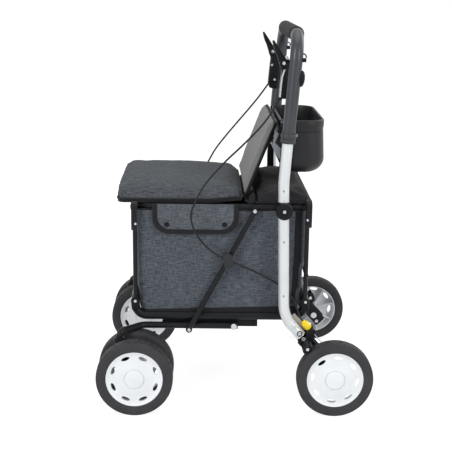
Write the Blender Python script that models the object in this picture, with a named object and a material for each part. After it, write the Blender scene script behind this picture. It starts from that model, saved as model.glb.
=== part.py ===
import bpy
import bmesh
import math
from mathutils import Matrix, Vector

for old in list(bpy.data.objects):
    bpy.data.objects.remove(old, do_unlink=True)

# Main sizes
wheel_radius = 0.085
rim_radius = 0.0628
rear_axle_x = 0.2215
rear_wheel_y = 0.255
front_axle_x = -0.2215
front_inner_y = 0.181
front_outer_y = 0.255
swivel_x = -0.2575
swivel_y = 0.218

post_y = 0.205
post_radius = 0.012
post_wall = 0.0015
handle_radius = 0.014
handle_bore = 0.0124
lean = math.radians(4.2)

fold_axis = (0.103, 0.455)
deck_axis = (0.1085, 0.241)
ring_radius = 0.006
ring_half_width = 0.170
ring_front_x = -0.217
ring_rear_x = 0.164
deck_radius = 0.0095
deck_half_width = 0.168
front_stay_top = (-0.2290, 0.455)
front_stay_bottom = (-0.2235, 0.241)
rear_stay_top = (0.1525, 0.455)
rear_stay_bottom = (0.158, 0.241)
stay_y = 0.183
strut_top = (0.041, 0.4475)
strut_bottom = (-0.102, 0.176)
arm_pivot = (-0.001, 0.181)
arm_radius = 0.0075
backrest_hinge = (0.036, 0.478)
backrest_foot = (0.016, 0.482)
backrest_lean = (0.3605, 0.9327)
bracket_start = (0.143, 0.175)
bracket_along = (0.6647, -0.7471)
bracket_across = (0.7471, 0.6647)
brake_pivot = (0.213, 0.128)
lever_pivot = (0.0960, 0.7710)


# Materials
def material(name, color, roughness, metallic):
    made = bpy.data.materials.new(name)
    made.use_nodes = True
    shader = made.node_tree.nodes["Principled BSDF"]
    shader.inputs["Base Color"].default_value = (color[0], color[1], color[2], 1.0)
    shader.inputs["Roughness"].default_value = roughness
    shader.inputs["Metallic"].default_value = metallic
    return made


silver = (0.78, 0.80, 0.80)
steel = (0.56, 0.57, 0.58)
black = (0.012, 0.013, 0.015)
satin_black = (0.035, 0.036, 0.038)
foam_black = (0.045, 0.045, 0.046)
rim_white = (0.80, 0.82, 0.84)
tyre_grey = (0.040, 0.040, 0.042)
bag_grey = (0.070, 0.078, 0.092)
cushion_grey = (0.110, 0.117, 0.119)
backrest_grey = (0.190, 0.198, 0.205)
lid_black = (0.020, 0.020, 0.022)
basket_black = (0.030, 0.030, 0.032)
adjuster_yellow = (0.88, 0.64, 0.02)


# Building helpers
def finish(mesh_builder, name, color, roughness, metallic=0.0, origin=None, smooth=35.0):
    bmesh.ops.remove_doubles(mesh_builder, verts=mesh_builder.verts, dist=0.00002)
    bmesh.ops.recalc_face_normals(mesh_builder, faces=mesh_builder.faces)
    mesh = bpy.data.meshes.new(name)
    mesh_builder.to_mesh(mesh)
    mesh_builder.free()
    if mesh_volume(mesh) < 0.0:
        mesh.flip_normals()
    thing = bpy.data.objects.new(name, mesh)
    bpy.context.scene.collection.objects.link(thing)
    mesh.materials.append(material(name, color, roughness, metallic))
    if smooth > 0.0:
        mesh.shade_smooth()
        mesh.set_sharp_from_angle(angle=math.radians(smooth))
    if origin is not None:
        mesh.transform(Matrix.Translation(-Vector(origin)))
        thing.location = Vector(origin)
    return thing


def mesh_volume(mesh):
    total = 0.0
    for face in mesh.polygons:
        corners = [mesh.vertices[index].co for index in face.vertices]
        for step in range(1, len(corners) - 1):
            total += corners[0].dot(corners[step].cross(corners[step + 1])) / 6.0
    return total


def as_bmesh(thing):
    made = bmesh.new()
    made.from_mesh(thing.data)
    made.transform(Matrix.Translation(thing.location))
    return made


def mirrored(thing, name, color, roughness, metallic=0.0, smooth=35.0):
    made = as_bmesh(thing)
    made.transform(Matrix.Scale(-1.0, 4, Vector((0.0, 1.0, 0.0))))
    bmesh.ops.reverse_faces(made, faces=made.faces)
    origin = (thing.location.x, -thing.location.y, thing.location.z)
    return finish(made, name, color, roughness, metallic, origin, smooth)


def combine(base, tool, operation):
    first = bpy.data.meshes.new("first")
    base.to_mesh(first)
    second = bpy.data.meshes.new("second")
    tool.to_mesh(second)
    base.free()
    tool.free()
    one = bpy.data.objects.new("first", first)
    two = bpy.data.objects.new("second", second)
    bpy.context.scene.collection.objects.link(one)
    bpy.context.scene.collection.objects.link(two)
    step = one.modifiers.new("join", "BOOLEAN")
    step.object = two
    step.operation = operation
    step.solver = "EXACT"
    bpy.context.view_layer.update()
    graph = bpy.context.evaluated_depsgraph_get()
    result = bpy.data.meshes.new_from_object(one.evaluated_get(graph))
    made = bmesh.new()
    made.from_mesh(result)
    bpy.data.objects.remove(one, do_unlink=True)
    bpy.data.objects.remove(two, do_unlink=True)
    bpy.data.meshes.remove(first)
    bpy.data.meshes.remove(second)
    bpy.data.meshes.remove(result)
    bmesh.ops.remove_doubles(made, verts=made.verts, dist=0.00001)
    bmesh.ops.dissolve_degenerate(made, edges=made.edges, dist=0.00001)
    return made


def rounded_route(corners, radii, step_degrees=15.0, closed=False):
    points = [Vector(corner) for corner in corners]
    count = len(points)
    route = []
    for index in range(count):
        here = points[index]
        if not closed and index in (0, count - 1):
            route.append(here)
            continue
        before = points[(index - 1) % count]
        after = points[(index + 1) % count]
        into = (here - before).normalized()
        out = (after - here).normalized()
        turn = into.angle(out)
        radius = radii[index]
        if radius <= 0.0 or turn < 0.001:
            route.append(here)
            continue
        reach = radius * math.tan(turn / 2.0)
        start = here - into * reach
        side = (out - into * out.dot(into)).normalized()
        centre = start + side * radius
        steps = max(1, round(math.degrees(turn) / step_degrees))
        for number in range(steps + 1):
            angle = turn * number / steps
            route.append(centre + into * (radius * math.sin(angle)) - side * (radius * math.cos(angle)))
    return route


def section_frames(route, closed, up):
    count = len(route)
    tangents = []
    for index in range(count):
        if closed:
            ahead = route[(index + 1) % count]
            behind = route[(index - 1) % count]
        else:
            ahead = route[min(index + 1, count - 1)]
            behind = route[max(index - 1, 0)]
        first = (route[index] - behind)
        second = (ahead - route[index])
        if first.length < 1e-9:
            tangents.append(second.normalized())
        elif second.length < 1e-9:
            tangents.append(first.normalized())
        else:
            tangents.append((first.normalized() + second.normalized()).normalized())
    side = tangents[0].cross(Vector(up)).normalized()
    sides = [side]
    for index in range(1, count):
        turn = tangents[index - 1].rotation_difference(tangents[index])
        side = (turn @ sides[-1]).normalized()
        side = (side - tangents[index] * side.dot(tangents[index])).normalized()
        sides.append(side)
    if closed:
        turn = tangents[-1].rotation_difference(tangents[0])
        last = (turn @ sides[-1]).normalized()
        twist = math.atan2(last.cross(sides[0]).dot(tangents[0]), last.dot(sides[0]))
        for index in range(count):
            sides[index] = Matrix.Rotation(twist * index / count, 3, tangents[index]) @ sides[index]
    return tangents, sides


def tube(route, radius, sides_count=12, bore=0.0, closed=False, up=(0.0, 1.0, 0.0), flat=1.0):
    made = bmesh.new()
    tangents, sides = section_frames(route, closed, up)
    loops = []
    for size in ([radius, bore] if bore > 0.0 else [radius]):
        rings = []
        for index, point in enumerate(route):
            side = sides[index]
            other = tangents[index].cross(side).normalized()
            ring = []
            for number in range(sides_count):
                angle = 2.0 * math.pi * (number + 0.5) / sides_count
                away = side * (size * math.cos(angle)) + other * (size * flat * math.sin(angle))
                ring.append(made.verts.new(point + away))
            rings.append(ring)
        loops.append(rings)
    for number, rings in enumerate(loops):
        last = len(rings) if closed else len(rings) - 1
        for index in range(last):
            one = rings[index]
            two = rings[(index + 1) % len(rings)]
            for place in range(sides_count):
                nextp = (place + 1) % sides_count
                quad = [one[place], one[nextp], two[nextp], two[place]]
                if number == 1:
                    quad.reverse()
                made.faces.new(quad)
    if not closed:
        if bore > 0.0:
            for end in (0, -1):
                outer = loops[0][end]
                inner = loops[1][end]
                for place in range(sides_count):
                    nextp = (place + 1) % sides_count
                    made.faces.new([outer[place], outer[nextp], inner[nextp], inner[place]])
        else:
            made.faces.new(loops[0][0])
            made.faces.new(list(reversed(loops[0][-1])))
    return made


def turned(profile, centre, axis=(0.0, 1.0, 0.0), sides_count=32, start=0.0):
    made = bmesh.new()
    direction = Vector(axis).normalized()
    side = Vector((1.0, 0.0, 0.0))
    if abs(direction.x) > 0.9:
        side = Vector((0.0, 1.0, 0.0))
    side = (side - direction * side.dot(direction)).normalized()
    other = direction.cross(side)
    middle = Vector(centre)
    rings = []
    for distance, height in profile:
        spot = middle + direction * height
        if distance < 1e-7:
            rings.append([made.verts.new(spot)])
            continue
        ring = []
        for number in range(sides_count):
            angle = start + 2.0 * math.pi * number / sides_count
            away = side * (distance * math.cos(angle)) + other * (distance * math.sin(angle))
            ring.append(made.verts.new(spot + away))
        rings.append(ring)
    closed = profile[0][0] > 1e-7 and profile[-1][0] > 1e-7
    last = len(rings) if closed else len(rings) - 1
    for index in range(last):
        one = rings[index]
        two = rings[(index + 1) % len(rings)]
        for place in range(sides_count):
            nextp = (place + 1) % sides_count
            if len(one) == 1 and len(two) == 1:
                continue
            if len(one) == 1:
                made.faces.new([one[0], two[place], two[nextp]])
            elif len(two) == 1:
                made.faces.new([one[place], one[nextp], two[0]])
            else:
                made.faces.new([one[place], one[nextp], two[nextp], two[place]])
    bmesh.ops.recalc_face_normals(made, faces=made.faces)
    return made


def rod(centre, axis, radius, start, end, sides_count=16, bevel=0.0):
    profile = [(0.0, start)]
    if bevel > 0.0:
        profile += [(radius - bevel, start), (radius, start + bevel)]
        profile += [(radius, end - bevel), (radius - bevel, end)]
    else:
        profile += [(radius, start), (radius, end)]
    profile.append((0.0, end))
    return turned(profile, centre, axis, sides_count)


def plate(outline, y_from, y_to):
    made = bmesh.new()
    low = [made.verts.new((x, y_from, z)) for x, z in outline]
    high = [made.verts.new((x, y_to, z)) for x, z in outline]
    made.faces.new(low)
    made.faces.new(list(reversed(high)))
    count = len(outline)
    for index in range(count):
        nextp = (index + 1) % count
        made.faces.new([low[index], low[nextp], high[nextp], high[index]])
    bmesh.ops.recalc_face_normals(made, faces=made.faces)
    return made


def circle_outline(centre, radius, count=24):
    points = []
    for number in range(count):
        angle = 2.0 * math.pi * number / count
        points.append((centre[0] + radius * math.cos(angle), centre[1] + radius * math.sin(angle)))
    return points


def wrapped(circles, count=20):
    points = []
    for centre, radius in circles:
        points += circle_outline(centre, radius, count)
    points = sorted(set((round(x, 7), round(z, 7)) for x, z in points))

    def half(ordered):
        chain = []
        for point in ordered:
            while len(chain) > 1:
                one = chain[-2]
                two = chain[-1]
                cross = (two[0] - one[0]) * (point[1] - one[1]) - (two[1] - one[1]) * (point[0] - one[0])
                if cross > 1e-12:
                    break
                chain.pop()
            chain.append(point)
        return chain

    lower = half(points)
    upper = half(list(reversed(points)))
    return lower[:-1] + upper[:-1]


def rounded_box(x_from, x_to, y_from, y_to, radius, count=4):
    points = []
    corners = [
        (x_to - radius, y_to - radius, 0.0),
        (x_from + radius, y_to - radius, 0.5),
        (x_from + radius, y_from + radius, 1.0),
        (x_to - radius, y_from + radius, 1.5),
    ]
    for x, y, begin in corners:
        for number in range(count + 1):
            angle = math.pi * (begin + 0.5 * number / count)
            points.append((x + radius * math.cos(angle), y + radius * math.sin(angle)))
    return points


def stacked(levels, place):
    made = bmesh.new()
    rings = []
    for outline, height in levels:
        rings.append([made.verts.new(place(x, y, height)) for x, y in outline])
    made.faces.new(rings[0])
    made.faces.new(list(reversed(rings[-1])))
    for index in range(len(rings) - 1):
        one = rings[index]
        two = rings[index + 1]
        for spot in range(len(one)):
            nextp = (spot + 1) % len(one)
            made.faces.new([one[spot], one[nextp], two[nextp], two[spot]])
    bmesh.ops.recalc_face_normals(made, faces=made.faces)
    return made


def upright(x, y, height):
    return (x, y, height)


def block(x_from, x_to, y_from, y_to, z_from, z_to):
    outline = [(x_from, z_from), (x_to, z_from), (x_to, z_to), (x_from, z_to)]
    return plate(outline, y_from, y_to)


def post_x(height):
    return 0.101 + (height - 0.515) * math.tan(lean)


def handle_x(height):
    return post_x(height)


# Rear posts
post_corners = [
    (0.1027, post_y, 0.4548),
    (0.1090, post_y, 0.2120),
    (0.1490, post_y, 0.1670),
]
route = rounded_route(post_corners, [0.0, 0.085, 0.0], 8.0)
right_lower_post = finish(
    tube(route, post_radius, 16, post_radius - post_wall), "lower_post_right", silver, 0.28, 0.85)
mirrored(right_lower_post, "lower_post_left", silver, 0.28, 0.85)

upper_corners = [
    (0.1024, post_y, 0.4554),
    (0.101, post_y, 0.515),
    (post_x(0.75), post_y, 0.75),
]
route = rounded_route(upper_corners, [0.0, 0.15, 0.0], 3.0)
right_upper_post = finish(
    tube(route, post_radius, 16, post_radius - post_wall), "upper_post_right", silver, 0.28, 0.85)
mirrored(right_upper_post, "upper_post_left", silver, 0.28, 0.85)

cap_profile = [
    (0.0, 0.207),
    (0.0165, 0.207),
    (0.0185, 0.209),
    (0.0185, 0.225),
    (0.0165, 0.2285),
    (0.0, 0.2285),
]
cap = turned(cap_profile, (fold_axis[0], 0.0, fold_axis[1]), (0.0, 1.0, 0.0), 24)
cap_groove = tube(
    [Vector((0.1039, post_y, 0.41)), Vector((0.1027, post_y, 0.4551)), Vector((0.1014, post_y, 0.50))],
    post_radius + 0.0004, 16)
right_cap = finish(combine(cap, cap_groove, "DIFFERENCE"), "pivot_cap_right", black, 0.45)
mirrored(right_cap, "pivot_cap_left", black, 0.45)


# Rear wheel brackets and axles
def bracket_point(along, across):
    x = bracket_start[0] + bracket_along[0] * along + bracket_across[0] * across
    z = bracket_start[1] + bracket_along[1] * along + bracket_across[1] * across
    return (x, z)


lower_part = [
    (0.0325, 0.0150),
    (0.0680, 0.0150),
    (0.0730, 0.0285),
    (0.0785, 0.0320),
    (0.0850, 0.0320),
    (0.0905, 0.0280),
    (0.0935, 0.0150),
    (0.1440, 0.0145),
    (0.1470, 0.0115),
    (0.1470, -0.0115),
    (0.1440, -0.0145),
]
inner_part = [
    (-0.0100, -0.0145),
    (-0.0140, -0.0100),
    (-0.0140, 0.0080),
    (-0.0100, 0.0120),
    (0.0118, 0.0140),
    (0.0118, 0.0325),
    (0.0170, 0.0335),
]
outer_part = [
    (0.0140, -0.0155),
    (0.0140, 0.0128),
    (0.0118, 0.0128),
    (0.0118, 0.0325),
    (0.0170, 0.0335),
]
stop_part = [
    (0.0118, 0.0128),
    (0.0118, 0.0325),
    (0.0170, 0.0335),
    (0.0325, 0.0150),
    (0.0325, 0.0100),
    (0.0140, 0.0100),
    (0.0140, 0.0128),
]
web_part = [(0.0150, -0.0144), (0.1000, -0.0144), (0.1000, -0.0118), (0.0150, -0.0118)]


def bracket_plate(places, y_from, y_to):
    return plate([bracket_point(along, across) for along, across in places], y_from, y_to)


bracket = bracket_plate(inner_part + lower_part, 0.1895, 0.1925)
bracket = combine(bracket, bracket_plate(outer_part + lower_part, 0.2175, 0.2200), "UNION")
bracket = combine(bracket, bracket_plate(web_part, 0.1915, 0.2185), "UNION")
bracket = combine(bracket, bracket_plate(stop_part, 0.1915, 0.2185), "UNION")
bracket = combine(
    bracket, rod((rear_axle_x, 0.0, wheel_radius), (0.0, 1.0, 0.0), 0.0054, 0.17, 0.23, 16), "DIFFERENCE")
stop_middle = bracket_point(0.0200, 0.0240)
bracket = combine(
    bracket,
    rod((stop_middle[0], post_y, stop_middle[1]), (bracket_along[0], 0.0, bracket_along[1]), 0.0024,
        -0.020, 0.020, 12),
    "DIFFERENCE")
right_bracket = finish(bracket, "rear_bracket_right", black, 0.42)
mirrored(right_bracket, "rear_bracket_left", black, 0.42)

axle_profile = [
    (0.0, 0.1848),
    (0.0078, 0.1848),
    (0.0078, 0.1891),
    (0.0050, 0.1891),
    (0.0050, 0.2205),
    (0.0080, 0.2205),
    (0.0080, 0.2372),
    (0.0050, 0.2372),
    (0.0050, 0.2666),
    (0.0, 0.2666),
]
right_axle = finish(
    turned(axle_profile, (rear_axle_x, 0.0, wheel_radius), (0.0, 1.0, 0.0), 12),
    "rear_axle_right", steel, 0.3, 1.0)
mirrored(right_axle, "rear_axle_left", steel, 0.3, 1.0)

# Hanger that carries the basket and rests the backrest
back_gap = 0.0186


def behind_backrest(height, gap):
    run = (height - backrest_foot[1]) * backrest_lean[0] / backrest_lean[1]
    return backrest_foot[0] + run + gap / backrest_lean[1]


def bar_x(height):
    if height < 0.52:
        return 0.0975
    return 0.0975 + (height - 0.52) * math.tan(lean)


bar_outline = [
    (bar_x(0.478) - 0.0080, 0.480),
    (bar_x(0.478) - 0.0055, 0.4775),
    (bar_x(0.478) + 0.0055, 0.4775),
    (bar_x(0.478) + 0.0080, 0.480),
    (bar_x(0.52) + 0.0080, 0.52),
    (bar_x(0.640) + 0.0080, 0.640),
    (behind_backrest(0.632, back_gap) + 0.0032, 0.640),
    (behind_backrest(0.632, back_gap), 0.632),
    (behind_backrest(0.600, back_gap), 0.600),
    (bar_x(0.585) - 0.0080, 0.588),
    (bar_x(0.52) - 0.0080, 0.52),
]
rest_outline = [
    (behind_backrest(0.600, back_gap), 0.600),
    (behind_backrest(0.600, back_gap + 0.003), 0.600),
    (behind_backrest(0.632, back_gap + 0.003), 0.632),
    (behind_backrest(0.632, back_gap), 0.632),
]
shelf_outline = [(0.0985, 0.6370), (0.1110, 0.6370), (0.1110, 0.6400), (0.0985, 0.6400)]
hanger = None
for side in (1.0, -1.0):
    bar = plate(bar_outline, side * 0.1845, side * 0.1875)
    bar = combine(bar, plate(rest_outline, side * 0.148, side * 0.186), "UNION")
    bar = combine(bar, plate(shelf_outline, side * 0.163, side * 0.186), "UNION")
    for x, z in ((0.0978, 0.498), (0.1032, 0.583)):
        boss = rod((x, 0.0, z), (0.0, 1.0, 0.0), 0.0055, min(side * 0.186, side * 0.1927),
                   max(side * 0.186, side * 0.1927), 12)
        bar = combine(bar, boss, "UNION")
    if hanger is None:
        hanger = bar
    else:
        crosspiece = rod((0.0938, 0.0, 0.560), (0.0, 1.0, 0.0), 0.004, -0.186, 0.186, 12)
        hanger = combine(hanger, crosspiece, "UNION")
        hanger = combine(hanger, bar, "UNION")
finish(hanger, "basket_hanger", satin_black, 0.4)

# Handle that slides on the posts
grip_z = 0.831
handle_corners = [
    (handle_x(0.6236), post_y, 0.6236),
    (handle_x(grip_z), post_y, grip_z),
    (handle_x(grip_z), -post_y, grip_z),
    (handle_x(0.6236), -post_y, 0.6236),
]
route = rounded_route(handle_corners, [0.0, 0.045, 0.045, 0.0], 18.0)
finish(tube(route, handle_radius, 16, handle_bore), "handle_tube", satin_black, 0.38)
grip_profile = [
    (0.0145, -0.155),
    (0.0155, -0.155),
    (0.0165, -0.153),
    (0.0165, 0.153),
    (0.0155, 0.155),
    (0.0145, 0.155),
]
finish(turned(grip_profile, (handle_x(grip_z), 0.0, grip_z), (0.0, 1.0, 0.0), 24),
       "foam_grip", foam_black, 0.9)

tilt = (math.sin(lean), 0.0, math.cos(lean))
collar_profile = [
    (0.0124, 0.0),
    (0.0160, 0.0),
    (0.0170, 0.0015),
    (0.0170, 0.0215),
    (0.0160, 0.0230),
    (0.0124, 0.0230),
]
collar = turned(collar_profile, (handle_x(0.600), post_y, 0.600), tilt, 16, math.pi / 16.0)
screw_lug = rod((handle_x(0.616) + 0.015, post_y, 0.6160), (1.0, 0.0, 0.0), 0.0045, -0.0015, 0.0055, 12)
right_collar = finish(combine(collar, screw_lug, "UNION"), "height_collar_right", black, 0.45)
mirrored(right_collar, "height_collar_left", black, 0.45)

# Brake lever housings on the handle
housing_outline = wrapped([
    ((0.1030, 0.7530), 0.0120),
    ((0.1070, 0.7530), 0.0100),
    ((0.0920, 0.7010), 0.0055),
    ((0.1070, 0.7000), 0.0050),
])
housing = plate(housing_outline, 0.1675, 0.1930)
pivot_ear = plate(wrapped([(lever_pivot, 0.0098), ((0.1040, 0.7700), 0.0090), ((0.1040, 0.7540), 0.0110)]),
                  0.1680, 0.1925)
housing = combine(housing, pivot_ear, "UNION")
bridge = block(0.100, 0.118, 0.1860, 0.2000, 0.7010, 0.7720)
housing = combine(housing, bridge, "UNION")
saddle = block(0.110, 0.1335, 0.1895, 0.1990, 0.7300, 0.7520)
housing = combine(housing, saddle, "UNION")
dome = turned([(0.0, -0.0175), (0.0050, -0.0170), (0.0085, -0.0110), (0.0100, 0.0), (0.0085, 0.0110),
               (0.0050, 0.0170), (0.0, 0.0175)], (handle_x(0.7405) + 0.0125, post_y, 0.7405), tilt, 14)
housing = combine(housing, dome, "UNION")
tube_bore = tube([Vector((handle_x(0.66), post_y, 0.66)), Vector((handle_x(0.81), post_y, 0.81))],
                 handle_radius + 0.0004, 16)
housing = combine(housing, tube_bore, "DIFFERENCE")
slot = block(0.070, 0.1070, 0.1728, 0.1852, 0.7565, 0.800)
housing = combine(housing, slot, "DIFFERENCE")
right_housing = finish(housing, "lever_housing_right", black, 0.45)
mirrored(right_housing, "lever_housing_left", black, 0.45)

lever_outline = wrapped([(lever_pivot, 0.0095), ((0.0880, 0.7865), 0.0068)])
lever = plate(lever_outline, 0.1732, 0.1848)
blade_levels = []
for share in (0.0, 0.12, 0.30, 0.50, 0.70, 0.88, 1.0):
    x = 0.0880 + (0.0724 - 0.0880) * share - 0.0010 * math.sin(math.pi * share)
    z = 0.7885 + (0.8180 - 0.7885) * share
    half_thick = 0.0064 + (0.0022 - 0.0064) * share ** 1.6
    half_wide = 0.0062 + 0.0022 * min(1.0, share * 4.0) - (0.0020 if share == 1.0 else 0.0)
    ahead = Vector((-0.0156, 0.0, 0.0295)).normalized()
    across = Vector((ahead.z, 0.0, -ahead.x))
    ring = []
    for dx, dy in rounded_box(-half_thick, half_thick, -half_wide, half_wide, half_thick * 0.7, 2):
        spot = Vector((x, 0.179, z)) + across * dx
        ring.append((spot.x, spot.y + dy, spot.z))
    blade_levels.append(ring)
blade = bmesh.new()
blade_rings = [[blade.verts.new(spot) for spot in ring] for ring in blade_levels]
blade.faces.new(blade_rings[0])
blade.faces.new(list(reversed(blade_rings[-1])))
for index in range(len(blade_rings) - 1):
    one = blade_rings[index]
    two = blade_rings[index + 1]
    for spot in range(len(one)):
        nextp = (spot + 1) % len(one)
        blade.faces.new([one[spot], one[nextp], two[nextp], two[spot]])
bmesh.ops.recalc_face_normals(blade, faces=blade.faces)
lever = combine(lever, blade, "UNION")
lever_origin = (lever_pivot[0], 0.179, lever_pivot[1])
right_lever = finish(lever, "brake_lever_right", black, 0.4, 0.0, lever_origin)
mirrored(right_lever, "brake_lever_left", black, 0.4)


# Basket
def basket_ring(inset, height, front_extra=0.0):
    outline = rounded_box(0.094 + inset + front_extra, 0.1925 - inset, -0.145 + inset, 0.145 - inset,
                          max(0.030 - inset, 0.008), 4)
    return (outline, height)


basket_levels = [
    basket_ring(0.0240, 0.5256, 0.006),
    basket_ring(0.0135, 0.5282, 0.005),
    basket_ring(0.0064, 0.5360, 0.005),
    basket_ring(0.0034, 0.5500, 0.0045),
    basket_ring(0.0026, 0.6260, 0.0036),
    basket_ring(0.0012, 0.6266, 0.0012),
    basket_ring(0.0012, 0.6290, 0.0012),
    basket_ring(0.0, 0.6290),
    basket_ring(0.0, 0.6435),
    basket_ring(0.0020, 0.6455),
    basket_ring(0.0044, 0.6455),
    basket_ring(0.0056, 0.6420),
    basket_ring(0.0062, 0.5530, 0.0045),
    basket_ring(0.0094, 0.5390, 0.005),
    basket_ring(0.0160, 0.5314, 0.005),
    basket_ring(0.0260, 0.5290, 0.006),
]
basket = stacked(basket_levels, upright)
for side in (1.0, -1.0):
    ear = plate([(0.0940, 0.6404), (0.1120, 0.6404), (0.1120, 0.6434), (0.0940, 0.6434)],
                side * 0.142, side * 0.181)
    lip = plate([(0.0940, 0.6345), (0.0965, 0.6345), (0.0965, 0.6425), (0.0940, 0.6425)],
                side * 0.166, side * 0.181)
    ear = combine(ear, lip, "UNION")
    basket = combine(basket, ear, "UNION")
finish(basket, "basket", basket_black, 0.5)

# Rear wheels and brakes
wheel_sides = 28
tyre_profile = [
    (0.0631, -0.0150),
    (0.0740, -0.0180),
    (0.0825, -0.0145),
    (wheel_radius, -0.0060),
    (wheel_radius, 0.0060),
    (0.0825, 0.0145),
    (0.0740, 0.0180),
    (0.0631, 0.0150),
]
rim_profile = [
    (0.0, 0.0165),
    (0.0170, 0.0160),
    (0.0225, 0.0120),
    (0.0240, 0.0070),
    (0.0550, 0.0060),
    (0.0575, 0.0140),
    (rim_radius, 0.0142),
    (rim_radius, -0.0142),
    (0.0590, -0.0140),
    (0.0570, 0.0010),
    (0.0170, 0.0010),
    (0.0140, -0.0168),
    (0.0053, -0.0168),
    (0.0053, 0.0122),
    (0.0, 0.0122),
]


def rim_solid(centre, facing, first_window):
    made = turned([(distance, height * facing) for distance, height in rim_profile], centre,
                  (0.0, 1.0, 0.0), wheel_sides)
    windows = bmesh.new()
    for number in range(8):
        angle = math.radians(first_window + 45.0 * number)
        middle = Vector((0.0490 * math.cos(angle), 0.0, 0.0490 * math.sin(angle)))
        along = Vector((-math.sin(angle), 0.0, math.cos(angle)))
        out = Vector((math.cos(angle), 0.0, math.sin(angle)))
        rim_low = []
        rim_high = []
        for spot in range(8):
            turn = 2.0 * math.pi * (spot + 0.5) / 8
            place = Vector(centre) + middle
            place += along * (0.0096 * math.cos(turn)) + out * (0.0044 * math.sin(turn))
            rim_low.append(windows.verts.new(place + Vector((0.0, -0.012, 0.0))))
            rim_high.append(windows.verts.new(place + Vector((0.0, 0.012, 0.0))))
        windows.faces.new(rim_low)
        windows.faces.new(list(reversed(rim_high)))
        for spot in range(8):
            nextp = (spot + 1) % 8
            windows.faces.new([rim_low[spot], rim_low[nextp], rim_high[nextp], rim_high[spot]])
    bmesh.ops.recalc_face_normals(windows, faces=windows.faces)
    return combine(made, windows, "DIFFERENCE")


def wheel(prefix, centre, facing, first_window=22.5):
    flat_side = math.pi / wheel_sides
    wide = [(distance / math.cos(flat_side), height) for distance, height in tyre_profile]
    tyre = turned(wide, centre, (0.0, 1.0, 0.0), wheel_sides, flat_side)
    finish(tyre, prefix.replace("wheel", "tyre"), tyre_grey, 0.8, 0.0, centre, 50.0)
    rim_name = prefix.replace("wheel", "rim")
    finish(rim_solid(centre, facing, first_window), rim_name, rim_white, 0.5, 0.0, centre, 30.0)


wheel("rear_wheel_right", (rear_axle_x, rear_wheel_y, wheel_radius), 1.0, 0.0)
wheel("rear_wheel_left", (rear_axle_x, -rear_wheel_y, wheel_radius), -1.0, 0.0)

pad_angle = math.radians(132.0)
pad_distance = wheel_radius + 0.0085
pad_middle = (rear_axle_x + pad_distance * math.cos(pad_angle),
              wheel_radius + pad_distance * math.sin(pad_angle))
pad_out = (math.cos(pad_angle), math.sin(pad_angle))
pad_along = (-math.sin(pad_angle), math.cos(pad_angle))
pad_outline = []
for along, out in ((-0.011, -0.0042), (0.011, -0.0042), (0.012, 0.0020), (0.009, 0.0050), (-0.009, 0.0050),
                   (-0.012, 0.0020)):
    pad_outline.append((pad_middle[0] + pad_along[0] * along + pad_out[0] * out,
                        pad_middle[1] + pad_along[1] * along + pad_out[1] * out))
shoe_arm = plate(wrapped([(brake_pivot, 0.0085), ((0.2135, 0.1385), 0.0040)]), 0.2224, 0.2264)
shoe_link = plate(wrapped([(brake_pivot, 0.0070), (pad_middle, 0.0048)]), 0.2224, 0.2264)
shoe = combine(shoe_arm, shoe_link, "UNION")
shoe = combine(shoe, plate(pad_outline, 0.2250, 0.2640), "UNION")
shoe_origin = (brake_pivot[0], 0.2244, brake_pivot[1])
right_shoe = finish(shoe, "brake_shoe_right", black, 0.5, 0.0, shoe_origin)
mirrored(right_shoe, "brake_shoe_left", black, 0.5)

adjuster_middle = bracket_point(0.0, 0.0240)
adjuster_origin = (adjuster_middle[0], post_y, adjuster_middle[1])
adjuster_profile = [
    (0.0, -0.0135),
    (0.0042, -0.0135),
    (0.0048, -0.0090),
    (0.0072, -0.0088),
    (0.0080, -0.0078),
    (0.0080, 0.0078),
    (0.0072, 0.0088),
    (0.0040, 0.0090),
    (0.0040, 0.0108),
    (0.0, 0.0108),
]
right_adjuster = finish(
    turned(adjuster_profile, adjuster_origin, (bracket_along[0], 0.0, bracket_along[1]), 18),
    "cable_adjuster_right", adjuster_yellow, 0.45, 0.0, adjuster_origin)
mirrored(right_adjuster, "cable_adjuster_left", adjuster_yellow, 0.45)

# Seat ring that tips about the fold axis
ring_corners = [
    (ring_front_x, -ring_half_width, fold_axis[1]),
    (ring_rear_x, -ring_half_width, fold_axis[1]),
    (ring_rear_x, ring_half_width, fold_axis[1]),
    (ring_front_x, ring_half_width, fold_axis[1]),
]
route = rounded_route(ring_corners, [0.030, 0.030, 0.030, 0.030], 18.0, True)
seat_ring = tube(route, ring_radius, 10, 0.0, True, (0.0, 0.0, 1.0))
lug_outline = wrapped([((backrest_hinge[0], backrest_hinge[1]), 0.0060), ((0.032, 0.4585), 0.0075)], 14)
cradle_outline = [
    (ring_front_x, 0.4595),
    (-0.2232, 0.4592),
]
for number in range(9):
    angle = math.radians(0.0 - 22.5 * number)
    cradle_outline.append((front_stay_top[0] + 0.0054 * math.cos(angle),
                           front_stay_top[1] + 0.0054 * math.sin(angle)))
cradle_outline.append((front_stay_top[0] - 0.0054, 0.4585))
cradle_outline.append((front_stay_top[0] - 0.0080, 0.4585))
for number in range(8):
    angle = math.radians(180.0 + 18.0 * number)
    cradle_outline.append((front_stay_top[0] + 0.0080 * math.cos(angle),
                           front_stay_top[1] + 0.0080 * math.sin(angle)))
cradle_outline.append((ring_front_x, 0.4505))
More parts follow.
